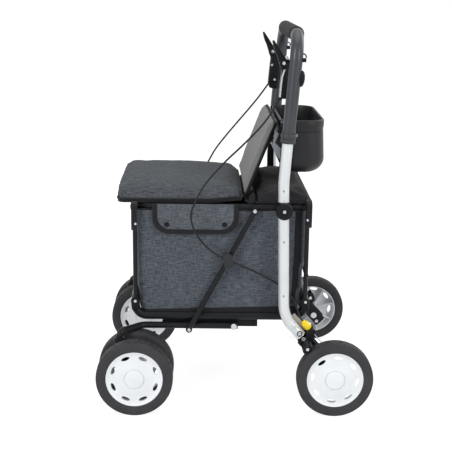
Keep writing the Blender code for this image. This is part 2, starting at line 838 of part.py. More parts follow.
for side in (1.0, -1.0):
    post_boss = rod((fold_axis[0], side * 0.1832, fold_axis[1]), (0.0, 1.0, 0.0), 0.009, -0.0094, 0.0094, 16)
    seat_ring = combine(seat_ring, post_boss, "UNION")
    stay_boss = rod((rear_stay_top[0], side * 0.1678, rear_stay_top[1]), (0.0, 1.0, 0.0), 0.0055,
                    -0.0098, 0.0098, 12)
    seat_ring = combine(seat_ring, stay_boss, "UNION")
    seat_ring = combine(seat_ring, plate(lug_outline, side * 0.1625, side * 0.1680), "UNION")
    seat_ring = combine(seat_ring, plate(cradle_outline, side * 0.120, side * 0.124), "UNION")
    strut_boss = plate(wrapped([(strut_top, 0.0062), ((strut_top[0], 0.4555), 0.0055)], 12),
                       side * 0.1738, side * 0.1842)
    seat_ring = combine(seat_ring, strut_boss, "UNION")
finish(seat_ring, "seat_ring", satin_black, 0.3, 0.0, (fold_axis[0], 0.0, fold_axis[1]))

pan = plate([(-0.2550, 0.4635), (-0.2535, 0.4615), (0.0130, 0.4615), (0.0140, 0.4625), (0.0140, 0.4690),
             (0.0125, 0.4700), (-0.2530, 0.4700), (-0.2550, 0.4680)], -0.168, 0.168)
finish(pan, "seat_pan", black, 0.5)


def cushion_ring(inset, rear_x, height, radius):
    return (rounded_box(-0.262 + inset, rear_x, -0.172 + inset, 0.172 - inset, radius, 4), height)


cushion_levels = [
    cushion_ring(0.0060, 0.0110, 0.4703, 0.012),
    cushion_ring(0.0010, 0.0135, 0.4735, 0.018),
    cushion_ring(0.0, 0.0115, 0.4780, 0.020),
    cushion_ring(0.0005, 0.0035, 0.4860, 0.022),
    cushion_ring(0.0030, -0.0055, 0.4930, 0.024),
    cushion_ring(0.0090, -0.0150, 0.4990, 0.026),
    cushion_ring(0.0220, -0.0300, 0.5040, 0.030),
    cushion_ring(0.0520, -0.0600, 0.5085, 0.034),
    cushion_ring(0.0900, -0.1000, 0.5105, 0.034),
]
finish(stacked(cushion_levels, upright), "seat_cushion", cushion_grey, 0.85, 0.0, None, 60.0)

lid_low = [(0.0190, 0.4620), (0.0480, 0.4620), (0.0480, 0.4655), (0.0200, 0.4655)]
lid = plate(lid_low, -0.160, 0.160)
lid_levels = [
    (rounded_box(0.0465, 0.1650, -0.1715, 0.1715, 0.008, 3), 0.4620),
    (rounded_box(0.0450, 0.1680, -0.1730, 0.1730, 0.010, 3), 0.4680),
    (rounded_box(0.0450, 0.1670, -0.1725, 0.1725, 0.012, 3), 0.4760),
    (rounded_box(0.0480, 0.1620, -0.1680, 0.1680, 0.014, 3), 0.4830),
    (rounded_box(0.0560, 0.1530, -0.1590, 0.1590, 0.014, 3), 0.4865),
]
lid = combine(lid, stacked(lid_levels, upright), "UNION")
finish(lid, "bag_lid", lid_black, 0.85, 0.0, None, 50.0)

# Bag that hangs under the seat ring
bag_front = -0.2125
bag_rear = 0.1465


def bag_ring(inset, half_width, height, radius):
    return (rounded_box(bag_front + inset, bag_rear - inset, -half_width, half_width, radius, 4), height)


bag_levels = [
    bag_ring(0.0200, 0.1560, 0.2137, 0.012),
    bag_ring(0.0100, 0.1660, 0.2165, 0.014),
    bag_ring(0.0035, 0.1705, 0.2235, 0.016),
    bag_ring(0.0, 0.1720, 0.2340, 0.018),
    bag_ring(0.0, 0.1720, 0.3400, 0.018),
    bag_ring(0.0, 0.1720, 0.4485, 0.018),
    bag_ring(0.0030, 0.1690, 0.4485, 0.016),
    bag_ring(0.0030, 0.1690, 0.2345, 0.016),
    bag_ring(0.0065, 0.1675, 0.2255, 0.014),
    bag_ring(0.0130, 0.1630, 0.2190, 0.012),
    bag_ring(0.0220, 0.1540, 0.2168, 0.010),
]
finish(stacked(bag_levels, upright), "bag", bag_grey, 0.9, 0.0, None, 45.0)


# Backrest
def backrest_place(across, up, height):
    x = backrest_foot[0] + backrest_lean[0] * up + backrest_lean[1] * (-height)
    z = backrest_foot[1] + backrest_lean[1] * up - backrest_lean[0] * (-height)
    return (x, across, z)


pad_levels = [
    (rounded_box(-0.1575, 0.1575, 0.0040, 0.1655, 0.016, 4), -0.0120),
    (rounded_box(-0.1600, 0.1600, 0.0020, 0.1678, 0.018, 4), -0.0090),
    (rounded_box(-0.1600, 0.1600, 0.0020, 0.1678, 0.018, 4), -0.0045),
    (rounded_box(-0.1570, 0.1570, 0.0050, 0.1650, 0.018, 4), -0.0012),
    (rounded_box(-0.1500, 0.1500, 0.0120, 0.1580, 0.018, 4), 0.0006),
    (rounded_box(-0.1250, 0.1250, 0.0350, 0.1350, 0.018, 4), 0.0022),
]
hinge_origin = (backrest_hinge[0], 0.0, backrest_hinge[1])
finish(stacked(pad_levels, backrest_place), "backrest_pad", backrest_grey, 0.85, 0.0, hinge_origin, 60.0)
board_levels = [
    (rounded_box(-0.1580, 0.1580, 0.0010, 0.1660, 0.016, 3), -0.0180),
    (rounded_box(-0.1580, 0.1580, 0.0010, 0.1660, 0.016, 3), -0.0123),
]
board = stacked(board_levels, backrest_place)
barrel = rod((backrest_hinge[0], 0.0, backrest_hinge[1]), (0.0, 1.0, 0.0), 0.0045, -0.1620, 0.1620, 12)
finish(combine(board, barrel, "UNION"), "backrest_board", black, 0.5, 0.0, hinge_origin)

# Lower frame that tips with the seat ring
deck_low = 0.2035
deck_corners = [
    (front_stay_bottom[0], -deck_half_width, deck_low),
    (rear_stay_bottom[0], -deck_half_width, deck_low),
    (rear_stay_bottom[0], -deck_half_width, front_stay_bottom[1]),
    (rear_stay_bottom[0], deck_half_width, front_stay_bottom[1]),
    (rear_stay_bottom[0], deck_half_width, deck_low),
    (front_stay_bottom[0], deck_half_width, deck_low),
    (front_stay_bottom[0], deck_half_width, front_stay_bottom[1]),
    (front_stay_bottom[0], -deck_half_width, front_stay_bottom[1]),
]
route = rounded_route(deck_corners, [0.025, 0.025, 0.0115, 0.0115, 0.025, 0.025, 0.0115, 0.0115], 18.0, True)
deck = tube(route, deck_radius, 10, 0.0, True, (0.0, 0.0, 1.0))
deck_lug = wrapped([(deck_axis, 0.0125), ((0.088, 0.2050), 0.0050), ((0.129, 0.2050), 0.0050)], 14)
for side in (1.0, -1.0):
    deck = combine(deck, plate(deck_lug, side * 0.1738, side * 0.1840), "UNION")
    deck_boss = rod((deck_axis[0], side * 0.1873, deck_axis[1]), (0.0, 1.0, 0.0), 0.009, -0.0053, 0.0053, 16)
    deck = combine(deck, deck_boss, "UNION")
finish(deck, "base_frame", satin_black, 0.35, 0.0, (deck_axis[0], 0.0, deck_axis[1]))

tray = block(-0.163, 0.053, -0.162, 0.162, 0.1790, 0.1935)
tray_room = block(-0.160, -0.001, -0.159, 0.159, 0.1820, 0.2000)
tray = combine(tray, tray_room, "DIFFERENCE")
tray_end = block(-0.013, 0.053, -0.162, 0.162, 0.1730, 0.1800)
tray = combine(tray, tray_end, "UNION")
finish(tray, "carrier_tray", black, 0.5, 0.0, (deck_axis[0], 0.0, deck_axis[1]))

# Stays and struts between the seat ring and the lower frame
stay_corners = [
    (front_stay_bottom[0], -stay_y, front_stay_bottom[1] - 0.006),
    (front_stay_top[0], -stay_y, front_stay_top[1]),
    (front_stay_top[0], stay_y, front_stay_top[1]),
    (front_stay_bottom[0], stay_y, front_stay_bottom[1] - 0.006),
]
route = rounded_route(stay_corners, [0.0, 0.010, 0.010, 0.0], 22.5)
finish(tube(route, 0.005, 10, 0.0, False, (1.0, 0.0, 0.0)), "front_stay", satin_black, 0.35, 0.0,
       (front_stay_top[0], 0.0, front_stay_top[1]))

rear_leg_top = Vector((rear_stay_top[0], stay_y, rear_stay_top[1] + 0.005))
rear_leg_end = Vector((rear_stay_bottom[0], stay_y, rear_stay_bottom[1] - 0.006))
rear_stay = tube([rear_leg_top, rear_leg_end], 0.005, 10)
stay_bar = rod((0.1566, 0.0, 0.300), (0.0, 1.0, 0.0), 0.0045, -0.183, 0.183, 10)
rear_stay = combine(rear_stay, stay_bar, "UNION")
rear_leg_top.y = -stay_y
rear_leg_end.y = -stay_y
rear_stay = combine(rear_stay, tube([rear_leg_top, rear_leg_end], 0.005, 10), "UNION")
finish(rear_stay, "rear_stay", satin_black, 0.35, 0.0, (rear_stay_top[0], 0.0, rear_stay_top[1]))

strut_start = Vector((strut_top[0], 0.0, strut_top[1]))
strut_end = Vector((strut_bottom[0], 0.0, strut_bottom[1]))
strut_way = (strut_end - strut_start).normalized()
strut_across = Vector((-strut_way.z, 0.0, strut_way.x))


def strut_point(distance, offset):
    spot = strut_start + strut_way * distance + strut_across * offset
    return (spot.x, spot.z)


flat_outline = [
    strut_point(0.170, -0.0058),
    strut_point(0.170, 0.0058),
    strut_point(0.004, 0.0060),
    strut_point(-0.0045, 0.0042),
    strut_point(-0.0065, 0.0),
    strut_point(-0.0045, -0.0042),
    strut_point(0.004, -0.0060),
]
flat_part = plate(flat_outline, 0.1846, 0.1878)
tube_part = tube([strut_start + strut_way * 0.150 + Vector((0.0, 0.1830, 0.0)),
                  strut_end - strut_way * 0.006 + Vector((0.0, 0.1830, 0.0)),
                  strut_end + strut_way * 0.006 + Vector((0.0, 0.1830, 0.0))],
                 0.0060, 10, 0.0, False, (0.0, 1.0, 0.0), 0.8)
strut = combine(flat_part, tube_part, "UNION")
strut_origin = (strut_top[0], 0.183, strut_top[1])
right_strut = finish(strut, "strut_right", satin_black, 0.35, 0.0, strut_origin)
mirrored(right_strut, "strut_left", satin_black, 0.35)

clip_outline = wrapped([
    ((-0.0250, 0.3455), 0.0025),
    ((-0.0275, 0.3480), 0.0016),
    ((-0.0192, 0.3530), 0.0018),
    ((-0.0100, 0.3475), 0.0022),
    ((-0.0065, 0.3245), 0.0022),
    ((-0.0212, 0.3200), 0.0025),
], 8)
right_clip = finish(
    plate(clip_outline, 0.1881, 0.1911), "cable_clip_right", black, 0.5, 0.0, strut_origin, 30.0)
mirrored(right_clip, "cable_clip_left", black, 0.5, 0.0, 30.0)

# Caster arms
arm_corners = [
    (0.0080, 0.170, arm_pivot[1]),
    (-0.2080, 0.170, 0.1795),
    (swivel_x, swivel_y, 0.1795),
    (swivel_x, swivel_y, 0.1246),
]
route = rounded_route(arm_corners, [0.0, 0.030, 0.0155, 0.0], 15.0)
arm_origin = (arm_pivot[0], 0.170, arm_pivot[1])
right_arm = finish(tube(route, arm_radius, 12), "caster_arm_right", satin_black, 0.35, 0.0, arm_origin)
mirrored(right_arm, "caster_arm_left", satin_black, 0.35)

# Casters
fork_origin = (swivel_x, swivel_y, 0.150)
stem_profile = [
    (0.0, 0.1130),
    (0.0095, 0.1130),
    (0.0110, 0.1160),
    (0.0115, 0.1540),
    (0.0122, 0.1570),
    (0.0122, 0.1615),
    (0.0080, 0.1625),
    (0.0080, 0.1240),
    (0.0, 0.1240),
]
fork = turned(stem_profile, (swivel_x, swivel_y, 0.0), (0.0, 0.0, 1.0), 16)
beam = plate(
    wrapped([((front_axle_x, wheel_radius), 0.0130), ((swivel_x, 0.1160), 0.0075)], 20), 0.2080, 0.2280)
fork = combine(fork, beam, "UNION")
fork = combine(
    fork, rod((front_axle_x, 0.0, wheel_radius), (0.0, 1.0, 0.0), 0.0054, 0.20, 0.24, 16), "DIFFERENCE")
right_fork = finish(fork, "caster_fork_right", black, 0.45, 0.0, fork_origin)
mirrored(right_fork, "caster_fork_left", black, 0.45)

front_axle_profile = [
    (0.0, 0.1694),
    (0.0050, 0.1694),
    (0.0050, 0.1984),
    (0.0078, 0.1984),
    (0.0078, 0.2076),
    (0.0050, 0.2076),
    (0.0050, 0.2284),
    (0.0078, 0.2284),
    (0.0078, 0.2376),
    (0.0050, 0.2376),
    (0.0050, 0.2666),
    (0.0, 0.2666),
]
front_axle = turned(front_axle_profile, (front_axle_x, 0.0, wheel_radius), (0.0, 1.0, 0.0), 12)
right_front_axle = finish(front_axle, "front_axle_right", steel, 0.3, 1.0, fork_origin)
mirrored(right_front_axle, "front_axle_left", steel, 0.3, 1.0)

wheel("front_wheel_outer_right", (front_axle_x, front_outer_y, wheel_radius), 1.0)
wheel("front_wheel_inner_right", (front_axle_x, front_inner_y, wheel_radius), -1.0)
wheel("front_wheel_inner_left", (front_axle_x, -front_inner_y, wheel_radius), 1.0)
wheel("front_wheel_outer_left", (front_axle_x, -front_outer_y, wheel_radius), -1.0)


# Brake cables
def smooth_points(through, count):
    points = [Vector(spot) for spot in through]
    padded = [points[0] * 2.0 - points[1]] + points + [points[-1] * 2.0 - points[-2]]
    dense = []
    for index in range(1, len(padded) - 2):
        before, here, after, beyond = padded[index - 1:index + 3]
        knot = [0.0]
        for one, two in ((before, here), (here, after), (after, beyond)):
            knot.append(knot[-1] + math.sqrt(max((two - one).length, 1e-9)))
        for number in range(24):
            spot = knot[1] + (knot[2] - knot[1]) * number / 24.0
            first = before.lerp(here, (spot - knot[0]) / (knot[1] - knot[0]))
            second = here.lerp(after, (spot - knot[1]) / (knot[2] - knot[1]))
            third = after.lerp(beyond, (spot - knot[2]) / (knot[3] - knot[2]))
            low = first.lerp(second, (spot - knot[0]) / (knot[2] - knot[0]))
            high = second.lerp(third, (spot - knot[1]) / (knot[3] - knot[1]))
            dense.append(low.lerp(high, (spot - knot[1]) / (knot[2] - knot[1])))
    dense.append(padded[-2])
    lengths = [0.0]
    for index in range(1, len(dense)):
        lengths.append(lengths[-1] + (dense[index] - dense[index - 1]).length)
    spread = []
    place = 0
    for number in range(count):
        target = lengths[-1] * number / (count - 1)
        while place < len(lengths) - 2 and lengths[place + 1] < target:
            place += 1
        gap = max(lengths[place + 1] - lengths[place], 1e-12)
        spread.append(dense[place].lerp(dense[place + 1], (target - lengths[place]) / gap))
    return spread


cable_end = bracket_point(-0.0143, 0.0240)
left_route = [
    (0.0895, -0.1790, 0.6945),
    (0.0858, -0.1795, 0.6885),
    (0.0785, -0.1810, 0.6770),
    (0.0655, -0.1860, 0.6550),
    (0.0440, -0.1915, 0.6290),
    (0.0083, -0.1980, 0.5930),
    (-0.0293, -0.2050, 0.5575),
    (-0.0692, -0.2120, 0.5120),
    (-0.0905, -0.2150, 0.4740),
    (-0.0992, -0.2150, 0.4471),
    (-0.0970, -0.2135, 0.4235),
    (-0.0855, -0.2090, 0.3975),
    (-0.0618, -0.2030, 0.3665),
    (-0.0300, -0.1965, 0.3445),
    (-0.0063, -0.1940, 0.3336),
    (0.0531, -0.1915, 0.3060),
    (0.0963, -0.1898, 0.2810),
    (0.1100, -0.1898, 0.2695),
    (0.1252, -0.1904, 0.2530),
    (0.1390, -0.1960, 0.2290),
    (cable_end[0] - bracket_along[0] * 0.010, -0.2048, cable_end[1] - bracket_along[1] * 0.010),
    (cable_end[0], -0.2050, cable_end[1]),
]


def cable(name, route_points):
    points = smooth_points(route_points, 46)
    line = bpy.data.curves.new(name, "CURVE")
    line.dimensions = "3D"
    line.bevel_depth = 0.0025
    line.bevel_resolution = 2
    line.use_fill_caps = True
    spline = line.splines.new("POLY")
    spline.points.add(len(points) - 1)
    for index, point in enumerate(points):
        spline.points[index].co = (point.x, point.y, point.z, 1.0)
    line.materials.append(material(name, black, 0.5, 0.0))
    thing = bpy.data.objects.new(name, line)
    bpy.context.scene.collection.objects.link(thing)
    return thing


cable("brake_cable_left", left_route)
cable("brake_cable_right", [(x, -y, z) for x, y, z in left_route])
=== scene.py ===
import bpy, bmesh, math
from mathutils import Vector, Matrix, noise
from mathutils.bvhtree import BVHTree


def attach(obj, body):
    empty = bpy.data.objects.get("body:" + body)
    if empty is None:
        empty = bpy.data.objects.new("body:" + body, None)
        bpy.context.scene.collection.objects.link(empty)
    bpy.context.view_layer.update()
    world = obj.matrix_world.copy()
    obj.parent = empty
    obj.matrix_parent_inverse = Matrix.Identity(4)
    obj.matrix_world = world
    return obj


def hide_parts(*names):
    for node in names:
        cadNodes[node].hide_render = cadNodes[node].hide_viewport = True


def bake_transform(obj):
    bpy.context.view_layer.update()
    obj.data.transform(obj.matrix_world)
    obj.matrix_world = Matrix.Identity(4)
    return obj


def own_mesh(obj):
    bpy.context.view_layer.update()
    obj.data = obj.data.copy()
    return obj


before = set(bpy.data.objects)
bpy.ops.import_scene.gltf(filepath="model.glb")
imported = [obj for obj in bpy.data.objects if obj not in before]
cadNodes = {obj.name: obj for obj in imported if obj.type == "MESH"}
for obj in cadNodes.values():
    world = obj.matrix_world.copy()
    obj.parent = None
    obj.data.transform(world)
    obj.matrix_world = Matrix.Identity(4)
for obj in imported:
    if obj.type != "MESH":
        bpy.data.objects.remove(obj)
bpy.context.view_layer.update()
print("frame loaded,", len(cadNodes), "solids")


# small tools for the bench

def clearSelection():
    if bpy.context.object and bpy.context.object.mode != "OBJECT":
        bpy.ops.object.mode_set(mode="OBJECT")
    bpy.ops.object.select_all(action="DESELECT")


def pick(*things):
    clearSelection()
    for thing in things:
        thing.select_set(True)
    bpy.context.view_layer.objects.active = things[0]
    return things[0]


def settle(piece, name):   # the place goes into the mesh
    pick(piece)
    bpy.ops.object.transform_apply(location=True, rotation=True, scale=True)
    piece.name = name
    piece.data.name = name
    return piece


def editAll(piece):
    pick(piece)
    bpy.ops.object.mode_set(mode="EDIT")
    bpy.ops.mesh.select_all(action="SELECT")


def leaveEdit():
    bpy.ops.object.mode_set(mode="OBJECT")


def signedVolume(piece):
    work = bmesh.new()
    work.from_mesh(piece.data)
    size = work.calc_volume(signed=True)
    work.free()
    return size


def facesOut(piece):
    if signedVolume(piece) < 0.0:
        editAll(piece)
        bpy.ops.mesh.flip_normals()
        leaveEdit()
    return piece


def tidyMesh(piece, gap=0.00001):
    editAll(piece)
    bpy.ops.mesh.remove_doubles(threshold=gap)
    bpy.ops.mesh.normals_make_consistent(inside=False)
    leaveEdit()
    return facesOut(piece)


def applyStep(piece, kind, **values):
    pick(piece)
    step = piece.modifiers.new("step", kind)
    for label, value in values.items():
        setattr(step, label, value)
    bpy.ops.object.modifier_apply(modifier="step")
    return piece


def softEdges(piece, width, segments=2, degrees=35.0):
    return applyStep(piece, "BEVEL", width=width, segments=segments, limit_method="ANGLE",
                     angle_limit=math.radians(degrees))


def smooth(piece, degrees=38.0):
    pick(piece)
    bpy.ops.object.shade_smooth_by_angle(angle=math.radians(degrees))
    return piece


def aim(piece, centre, direction, name):   # local Z goes along direction
    way = Vector((0.0, 0.0, 1.0)).rotation_difference(Vector(direction).normalized())
    piece.matrix_world = Matrix.Translation(Vector(centre)) @ way.to_matrix().to_4x4() @ piece.matrix_world
    return settle(piece, name)


def traceLine(name, points, shut=False):   # a vertex drawn along the points
    clearSelection()
    points = [Vector(point) for point in points]
    bpy.ops.mesh.primitive_plane_add(size=0.002, location=points[0])
    piece = bpy.context.object
    bpy.ops.object.mode_set(mode="EDIT")
    bpy.ops.mesh.select_all(action="SELECT")
    bpy.ops.mesh.merge(type="CENTER")
    for here, there in zip(points, points[1:]):
        bpy.ops.mesh.extrude_region_move(TRANSFORM_OT_translate={"value": there - here})
    if shut:
        bpy.ops.mesh.select_all(action="SELECT")
        bpy.ops.mesh.edge_face_add()
    leaveEdit()
    piece.name = name
    return piece


def plateFrom(name, outline, low, high, edge, plane="XZ"):   # outline pushed from low to high
    if plane == "XZ":
        points = [(u, low, v) for u, v in outline]
        push = (0.0, high - low, 0.0)
    else:
        points = [(u, v, low) for u, v in outline]
        push = (0.0, 0.0, high - low)
    piece = traceLine(name, points, True)
    editAll(piece)
    bpy.ops.mesh.extrude_region_move(TRANSFORM_OT_translate={"value": push})
    leaveEdit()
    settle(piece, name)
    tidyMesh(piece)
    if edge > 0.0:
        softEdges(piece, edge)
    return piece


def spunFrom(name, profile, centre, direction, steps, ringShut=False):   # profile is (radius, along)
    points = [(radius, 0.0, along) for radius, along in profile]
    if ringShut:
        points.append(points[0])
    piece = traceLine(name, points)
    editAll(piece)
    bpy.ops.mesh.spin(steps=steps, angle=math.tau, dupli=False, center=(0.0, 0.0, 0.0), axis=(0.0, 0.0, 1.0))
    leaveEdit()
    settle(piece, name)
    tidyMesh(piece, 0.000005)
    return aim(piece, centre, direction, name)


def boxFrom(name, low, high, edge, segments=2):
    clearSelection()
    middle = [(a + b) / 2.0 for a, b in zip(low, high)]
    bpy.ops.mesh.primitive_cube_add(size=1.0, location=middle)
    piece = bpy.context.object
    piece.scale = [b - a for a, b in zip(low, high)]
    settle(piece, name)
    if edge > 0.0:
        softEdges(piece, edge, segments)
    return piece


def bentLine(corners, radii, degrees, shut=False):   # corners rounded with arcs
    corners = [Vector(corner) for corner in corners]
    count = len(corners)
    line = []
    for index, here in enumerate(corners):
        if radii[index] <= 0.0 or (not shut and index in (0, count - 1)):
            line.append(here)
            continue
        into = (here - corners[index - 1]).normalized()
        out = (corners[(index + 1) % count] - here).normalized()
        turn = into.angle(out)
        reach = radii[index] * math.tan(turn / 2.0)
        side = (out - into * out.dot(into)).normalized()
        hub = here - into * reach + side * radii[index]
        steps = max(2, round(math.degrees(turn) / degrees))
        for number in range(steps + 1):
            angle = turn * number / steps
            line.append(hub + into * (radii[index] * math.sin(angle)) - side * (radii[index] * math.cos(angle)))
    return line


def tubeFrom(name, line, radius, shut=False, resolution=6, radii=None):
    clearSelection()
    bpy.ops.curve.primitive_nurbs_path_add(location=(0.0, 0.0, 0.0))
    piece = bpy.context.object
    curve = piece.data
    curve.splines.clear()
    curve.dimensions = "3D"
    curve.twist_mode = "MINIMUM"
    curve.bevel_depth = radius
    curve.bevel_resolution = resolution
    curve.use_fill_caps = not shut
    spline = curve.splines.new("POLY")
    spline.points.add(len(line) - 1)
    for index, spot in enumerate(line):
        spline.points[index].co = (spot[0], spot[1], spot[2], 1.0)
        if radii:
            spline.points[index].radius = radii[index]
    spline.use_cyclic_u = shut
    bpy.ops.object.convert(target="MESH")
    piece = bpy.context.object
    settle(piece, name)
    return tidyMesh(piece, 0.000002)


def ribbonFrom(name, line, width, thick, across):   # flat band along a line
    line = [Vector(spot) for spot in line]
    across = Vector(across).normalized()
    piece = traceLine(name, line)
    editAll(piece)
    bpy.ops.transform.translate(value=across * (-width / 2.0))
    bpy.ops.mesh.extrude_region_move(TRANSFORM_OT_translate={"value": across * width})
    leaveEdit()
    settle(piece, name)
    applyStep(piece, "SOLIDIFY", thickness=thick, offset=0.0, use_even_offset=True)
    tidyMesh(piece)
    return softEdges(piece, 0.0002, 1, 50.0)


def fade(value, low, high):   # soft step from 0 to 1
    share = max(0.0, min(1.0, (value - low) / (high - low)))
    return share * share * (3.0 - 2.0 * share)


def roundedOutline(lowU, highU, lowV, highV, radius, count):   # one radius, or four from the high corner round
    sizes = radius if isinstance(radius, tuple) else (radius,) * 4
    points = []
    for index, size in enumerate(sizes):
        u = lowU + size if index in (1, 2) else highU - size
        v = highV - size if index < 2 else lowV + size
        for number in range(count + 1):
            angle = math.pi * 0.5 * (index + number / count)
            points.append((u + size * math.cos(angle), v + size * math.sin(angle)))
    return points


def denser(outline, step=0.008):   # long straight runs get points in between
    points = []
    for index, here in enumerate(outline):
        there = outline[(index + 1) % len(outline)]
        parts = max(1, round(math.dist(here, there) / step))
        for number in range(parts):
            points.append(tuple(a + (b - a) * number / parts for a, b in zip(here, there)))
    return points


def hullOutline(circles, count):   # a belt round circles
    points = set()
    for (u, v), radius in circles:
        for number in range(count):
            angle = math.tau * number / count
            points.add((round(u + radius * math.cos(angle), 7), round(v + radius * math.sin(angle), 7)))
    points = sorted(points)
    belt = []
    for ordered in (points, points[::-1]):
        chain = []
        for spot in ordered:
            while len(chain) > 1:
                (au, av), (bu, bv) = chain[-2], chain[-1]
                if (bu - au) * (spot[1] - av) - (bv - av) * (spot[0] - au) > 1e-12:
                    break
                chain.pop()
            chain.append(spot)
        belt += chain[:-1]
    return belt


def cutWith(piece, cutter, way="DIFFERENCE"):
    applyStep(piece, "BOOLEAN", object=cutter, operation=way, solver="EXACT")
    bpy.data.objects.remove(cutter, do_unlink=True)
    return tidyMesh(piece)


def copyOf(piece, name, move=(0.0, 0.0, 0.0), mirrored=False):
    pick(piece)
    bpy.ops.object.duplicate()
    other = bpy.context.object
    other.data.name = name
    if mirrored:
        other.scale = (1.0, -1.0, 1.0)
    other.location = move
    settle(other, name)
    return facesOut(other)


def joined(name, pieces):
    pick(*pieces)
    bpy.ops.object.join()
    piece = bpy.context.object
    piece.name = name
    piece.data.name = name
    return piece


def projectCloth(piece):   # weave runs in metres on this map
    editAll(piece)
    bpy.ops.uv.cube_project(cube_size=1.0, correct_aspect=False)
    leaveEdit()


def dress(piece, *materials):
    piece.data.materials.clear()
    for material in materials:
        piece.data.materials.append(material)
    return piece


def dressNode(name, material):
    for slot in cadNodes[name].material_slots:
        slot.material = material


def sideways(sign, near, far):   # a span on one side, lowest end first
    return sorted((sign * near, sign * far))


def hand(piece, material, body, *nodes):   # finish, body to ride on, solids it stands for
    if material is not None:
        dress(piece, material)
    if nodes:
        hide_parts(*nodes)
    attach(piece, body)
    return piece


def bothSides(piece, material, body, *nodes):   # the right one is given, the left one is its mirror
    other = copyOf(piece, piece.name.replace("Right", "Left"), mirrored=True)
    hand(piece, material, body.replace("SIDE", "right"), *[node.replace("SIDE", "right") for node in nodes])
    hand(other, material, body.replace("SIDE", "left"), *[node.replace("SIDE", "left") for node in nodes])
    return piece, other


# finishes

def fromScreen(colour):   # red, green and blue as a screen counts them, 0 to 255
    made = []
    for value in colour:
        value = value / 255.0
        made.append(value / 12.92 if value <= 0.04045 else ((value + 0.055) / 1.055) ** 2.4)
    return (made[0], made[1], made[2], 1.0)


def startGroup(name, inputs, outputs):
    group = bpy.data.node_groups.new(name, "ShaderNodeTree")
    for label, kind, value in inputs:
        socket = group.interface.new_socket(label, in_out="INPUT", socket_type="NodeSocket" + kind)
        if value is not None:
            socket.default_value = value
    for label, kind in outputs:
        group.interface.new_socket(label, in_out="OUTPUT", socket_type="NodeSocket" + kind)
    entry = group.nodes.new("NodeGroupInput")
    leave = group.nodes.new("NodeGroupOutput")
    return group, entry, leave


def sumNode(tree, operation, one, two=None, clamp=False):
    node = tree.nodes.new("ShaderNodeMath")
    node.operation = operation
    node.use_clamp = clamp
    for index, value in enumerate((one, two)):
        if value is None:
            continue
        if isinstance(value, (int, float)):
            node.inputs[index].default_value = value
        else:
            tree.links.new(value, node.inputs[index])
    return node.outputs[0]


def noiseNode(tree, vector, scale, detail, roughness):
    node = tree.nodes.new("ShaderNodeTexNoise")
    node.inputs["Detail"].default_value = detail
    node.inputs["Roughness"].default_value = roughness
    tree.links.new(vector, node.inputs["Vector"])
    if isinstance(scale, (int, float)):
        node.inputs["Scale"].default_value = scale
    else:
        tree.links.new(scale, node.inputs["Scale"])
    return node.outputs["Fac"]


def stretched(tree, vector, scale):
    node = tree.nodes.new("ShaderNodeMapping")
    node.inputs["Scale"].default_value = scale
    tree.links.new(vector, node.inputs["Vector"])
    return node.outputs["Vector"]


def rangeNode(tree, value, low, high, toLow=0.0, toHigh=1.0):
    node = tree.nodes.new("ShaderNodeMapRange")
    node.inputs["From Min"].default_value = low
    node.inputs["From Max"].default_value = high
    node.inputs["To Min"].default_value = toLow
    node.inputs["To Max"].default_value = toHigh
    tree.links.new(value, node.inputs["Value"])
    return node.outputs["Result"]


def mixColour(tree, factor, one, two):
    node = tree.nodes.new("ShaderNodeMix")
    node.data_type = "RGBA"
    if isinstance(factor, (int, float)):
        node.inputs[0].default_value = factor
    else:
        tree.links.new(factor, node.inputs[0])
    for socket, value in ((node.inputs[6], one), (node.inputs[7], two)):
        if isinstance(value, tuple):
            socket.default_value = value
        else:
            tree.links.new(value, socket)
    return node.outputs[2]


def makeSurfaceGroup():   # grain, slow tone and fine scuffs on any hard surface
    group, entry, leave = startGroup(
        "hardSurface", [("Grain Size", "Float", 900.0), ("Tone Size", "Float", 18.0)],
        [("Grain", "Float"), ("Tone", "Float"), ("Scuff", "Float")])
    spot = group.nodes.new("ShaderNodeTexCoord").outputs["Object"]
    grain = noiseNode(group, spot, entry.outputs["Grain Size"], 3.0, 0.6)
    tone = noiseNode(group, spot, entry.outputs["Tone Size"], 3.0, 0.55)
    long = noiseNode(group, stretched(group, spot, (900.0, 1300.0, 60.0)), 1.0, 2.0, 0.5)
    wide = noiseNode(group, stretched(group, spot, (70.0, 900.0, 900.0)), 1.0, 2.0, 0.5)
    patch = rangeNode(group, noiseNode(group, spot, 42.0, 2.0, 0.6), 0.56, 0.72)
    lines = sumNode(group, "MAXIMUM", rangeNode(group, long, 0.70, 0.78), rangeNode(group, wide, 0.70, 0.78))
    group.links.new(grain, leave.inputs["Grain"])
    group.links.new(tone, leave.inputs["Tone"])
    group.links.new(sumNode(group, "MULTIPLY", lines, patch, clamp=True), leave.inputs["Scuff"])
    return group


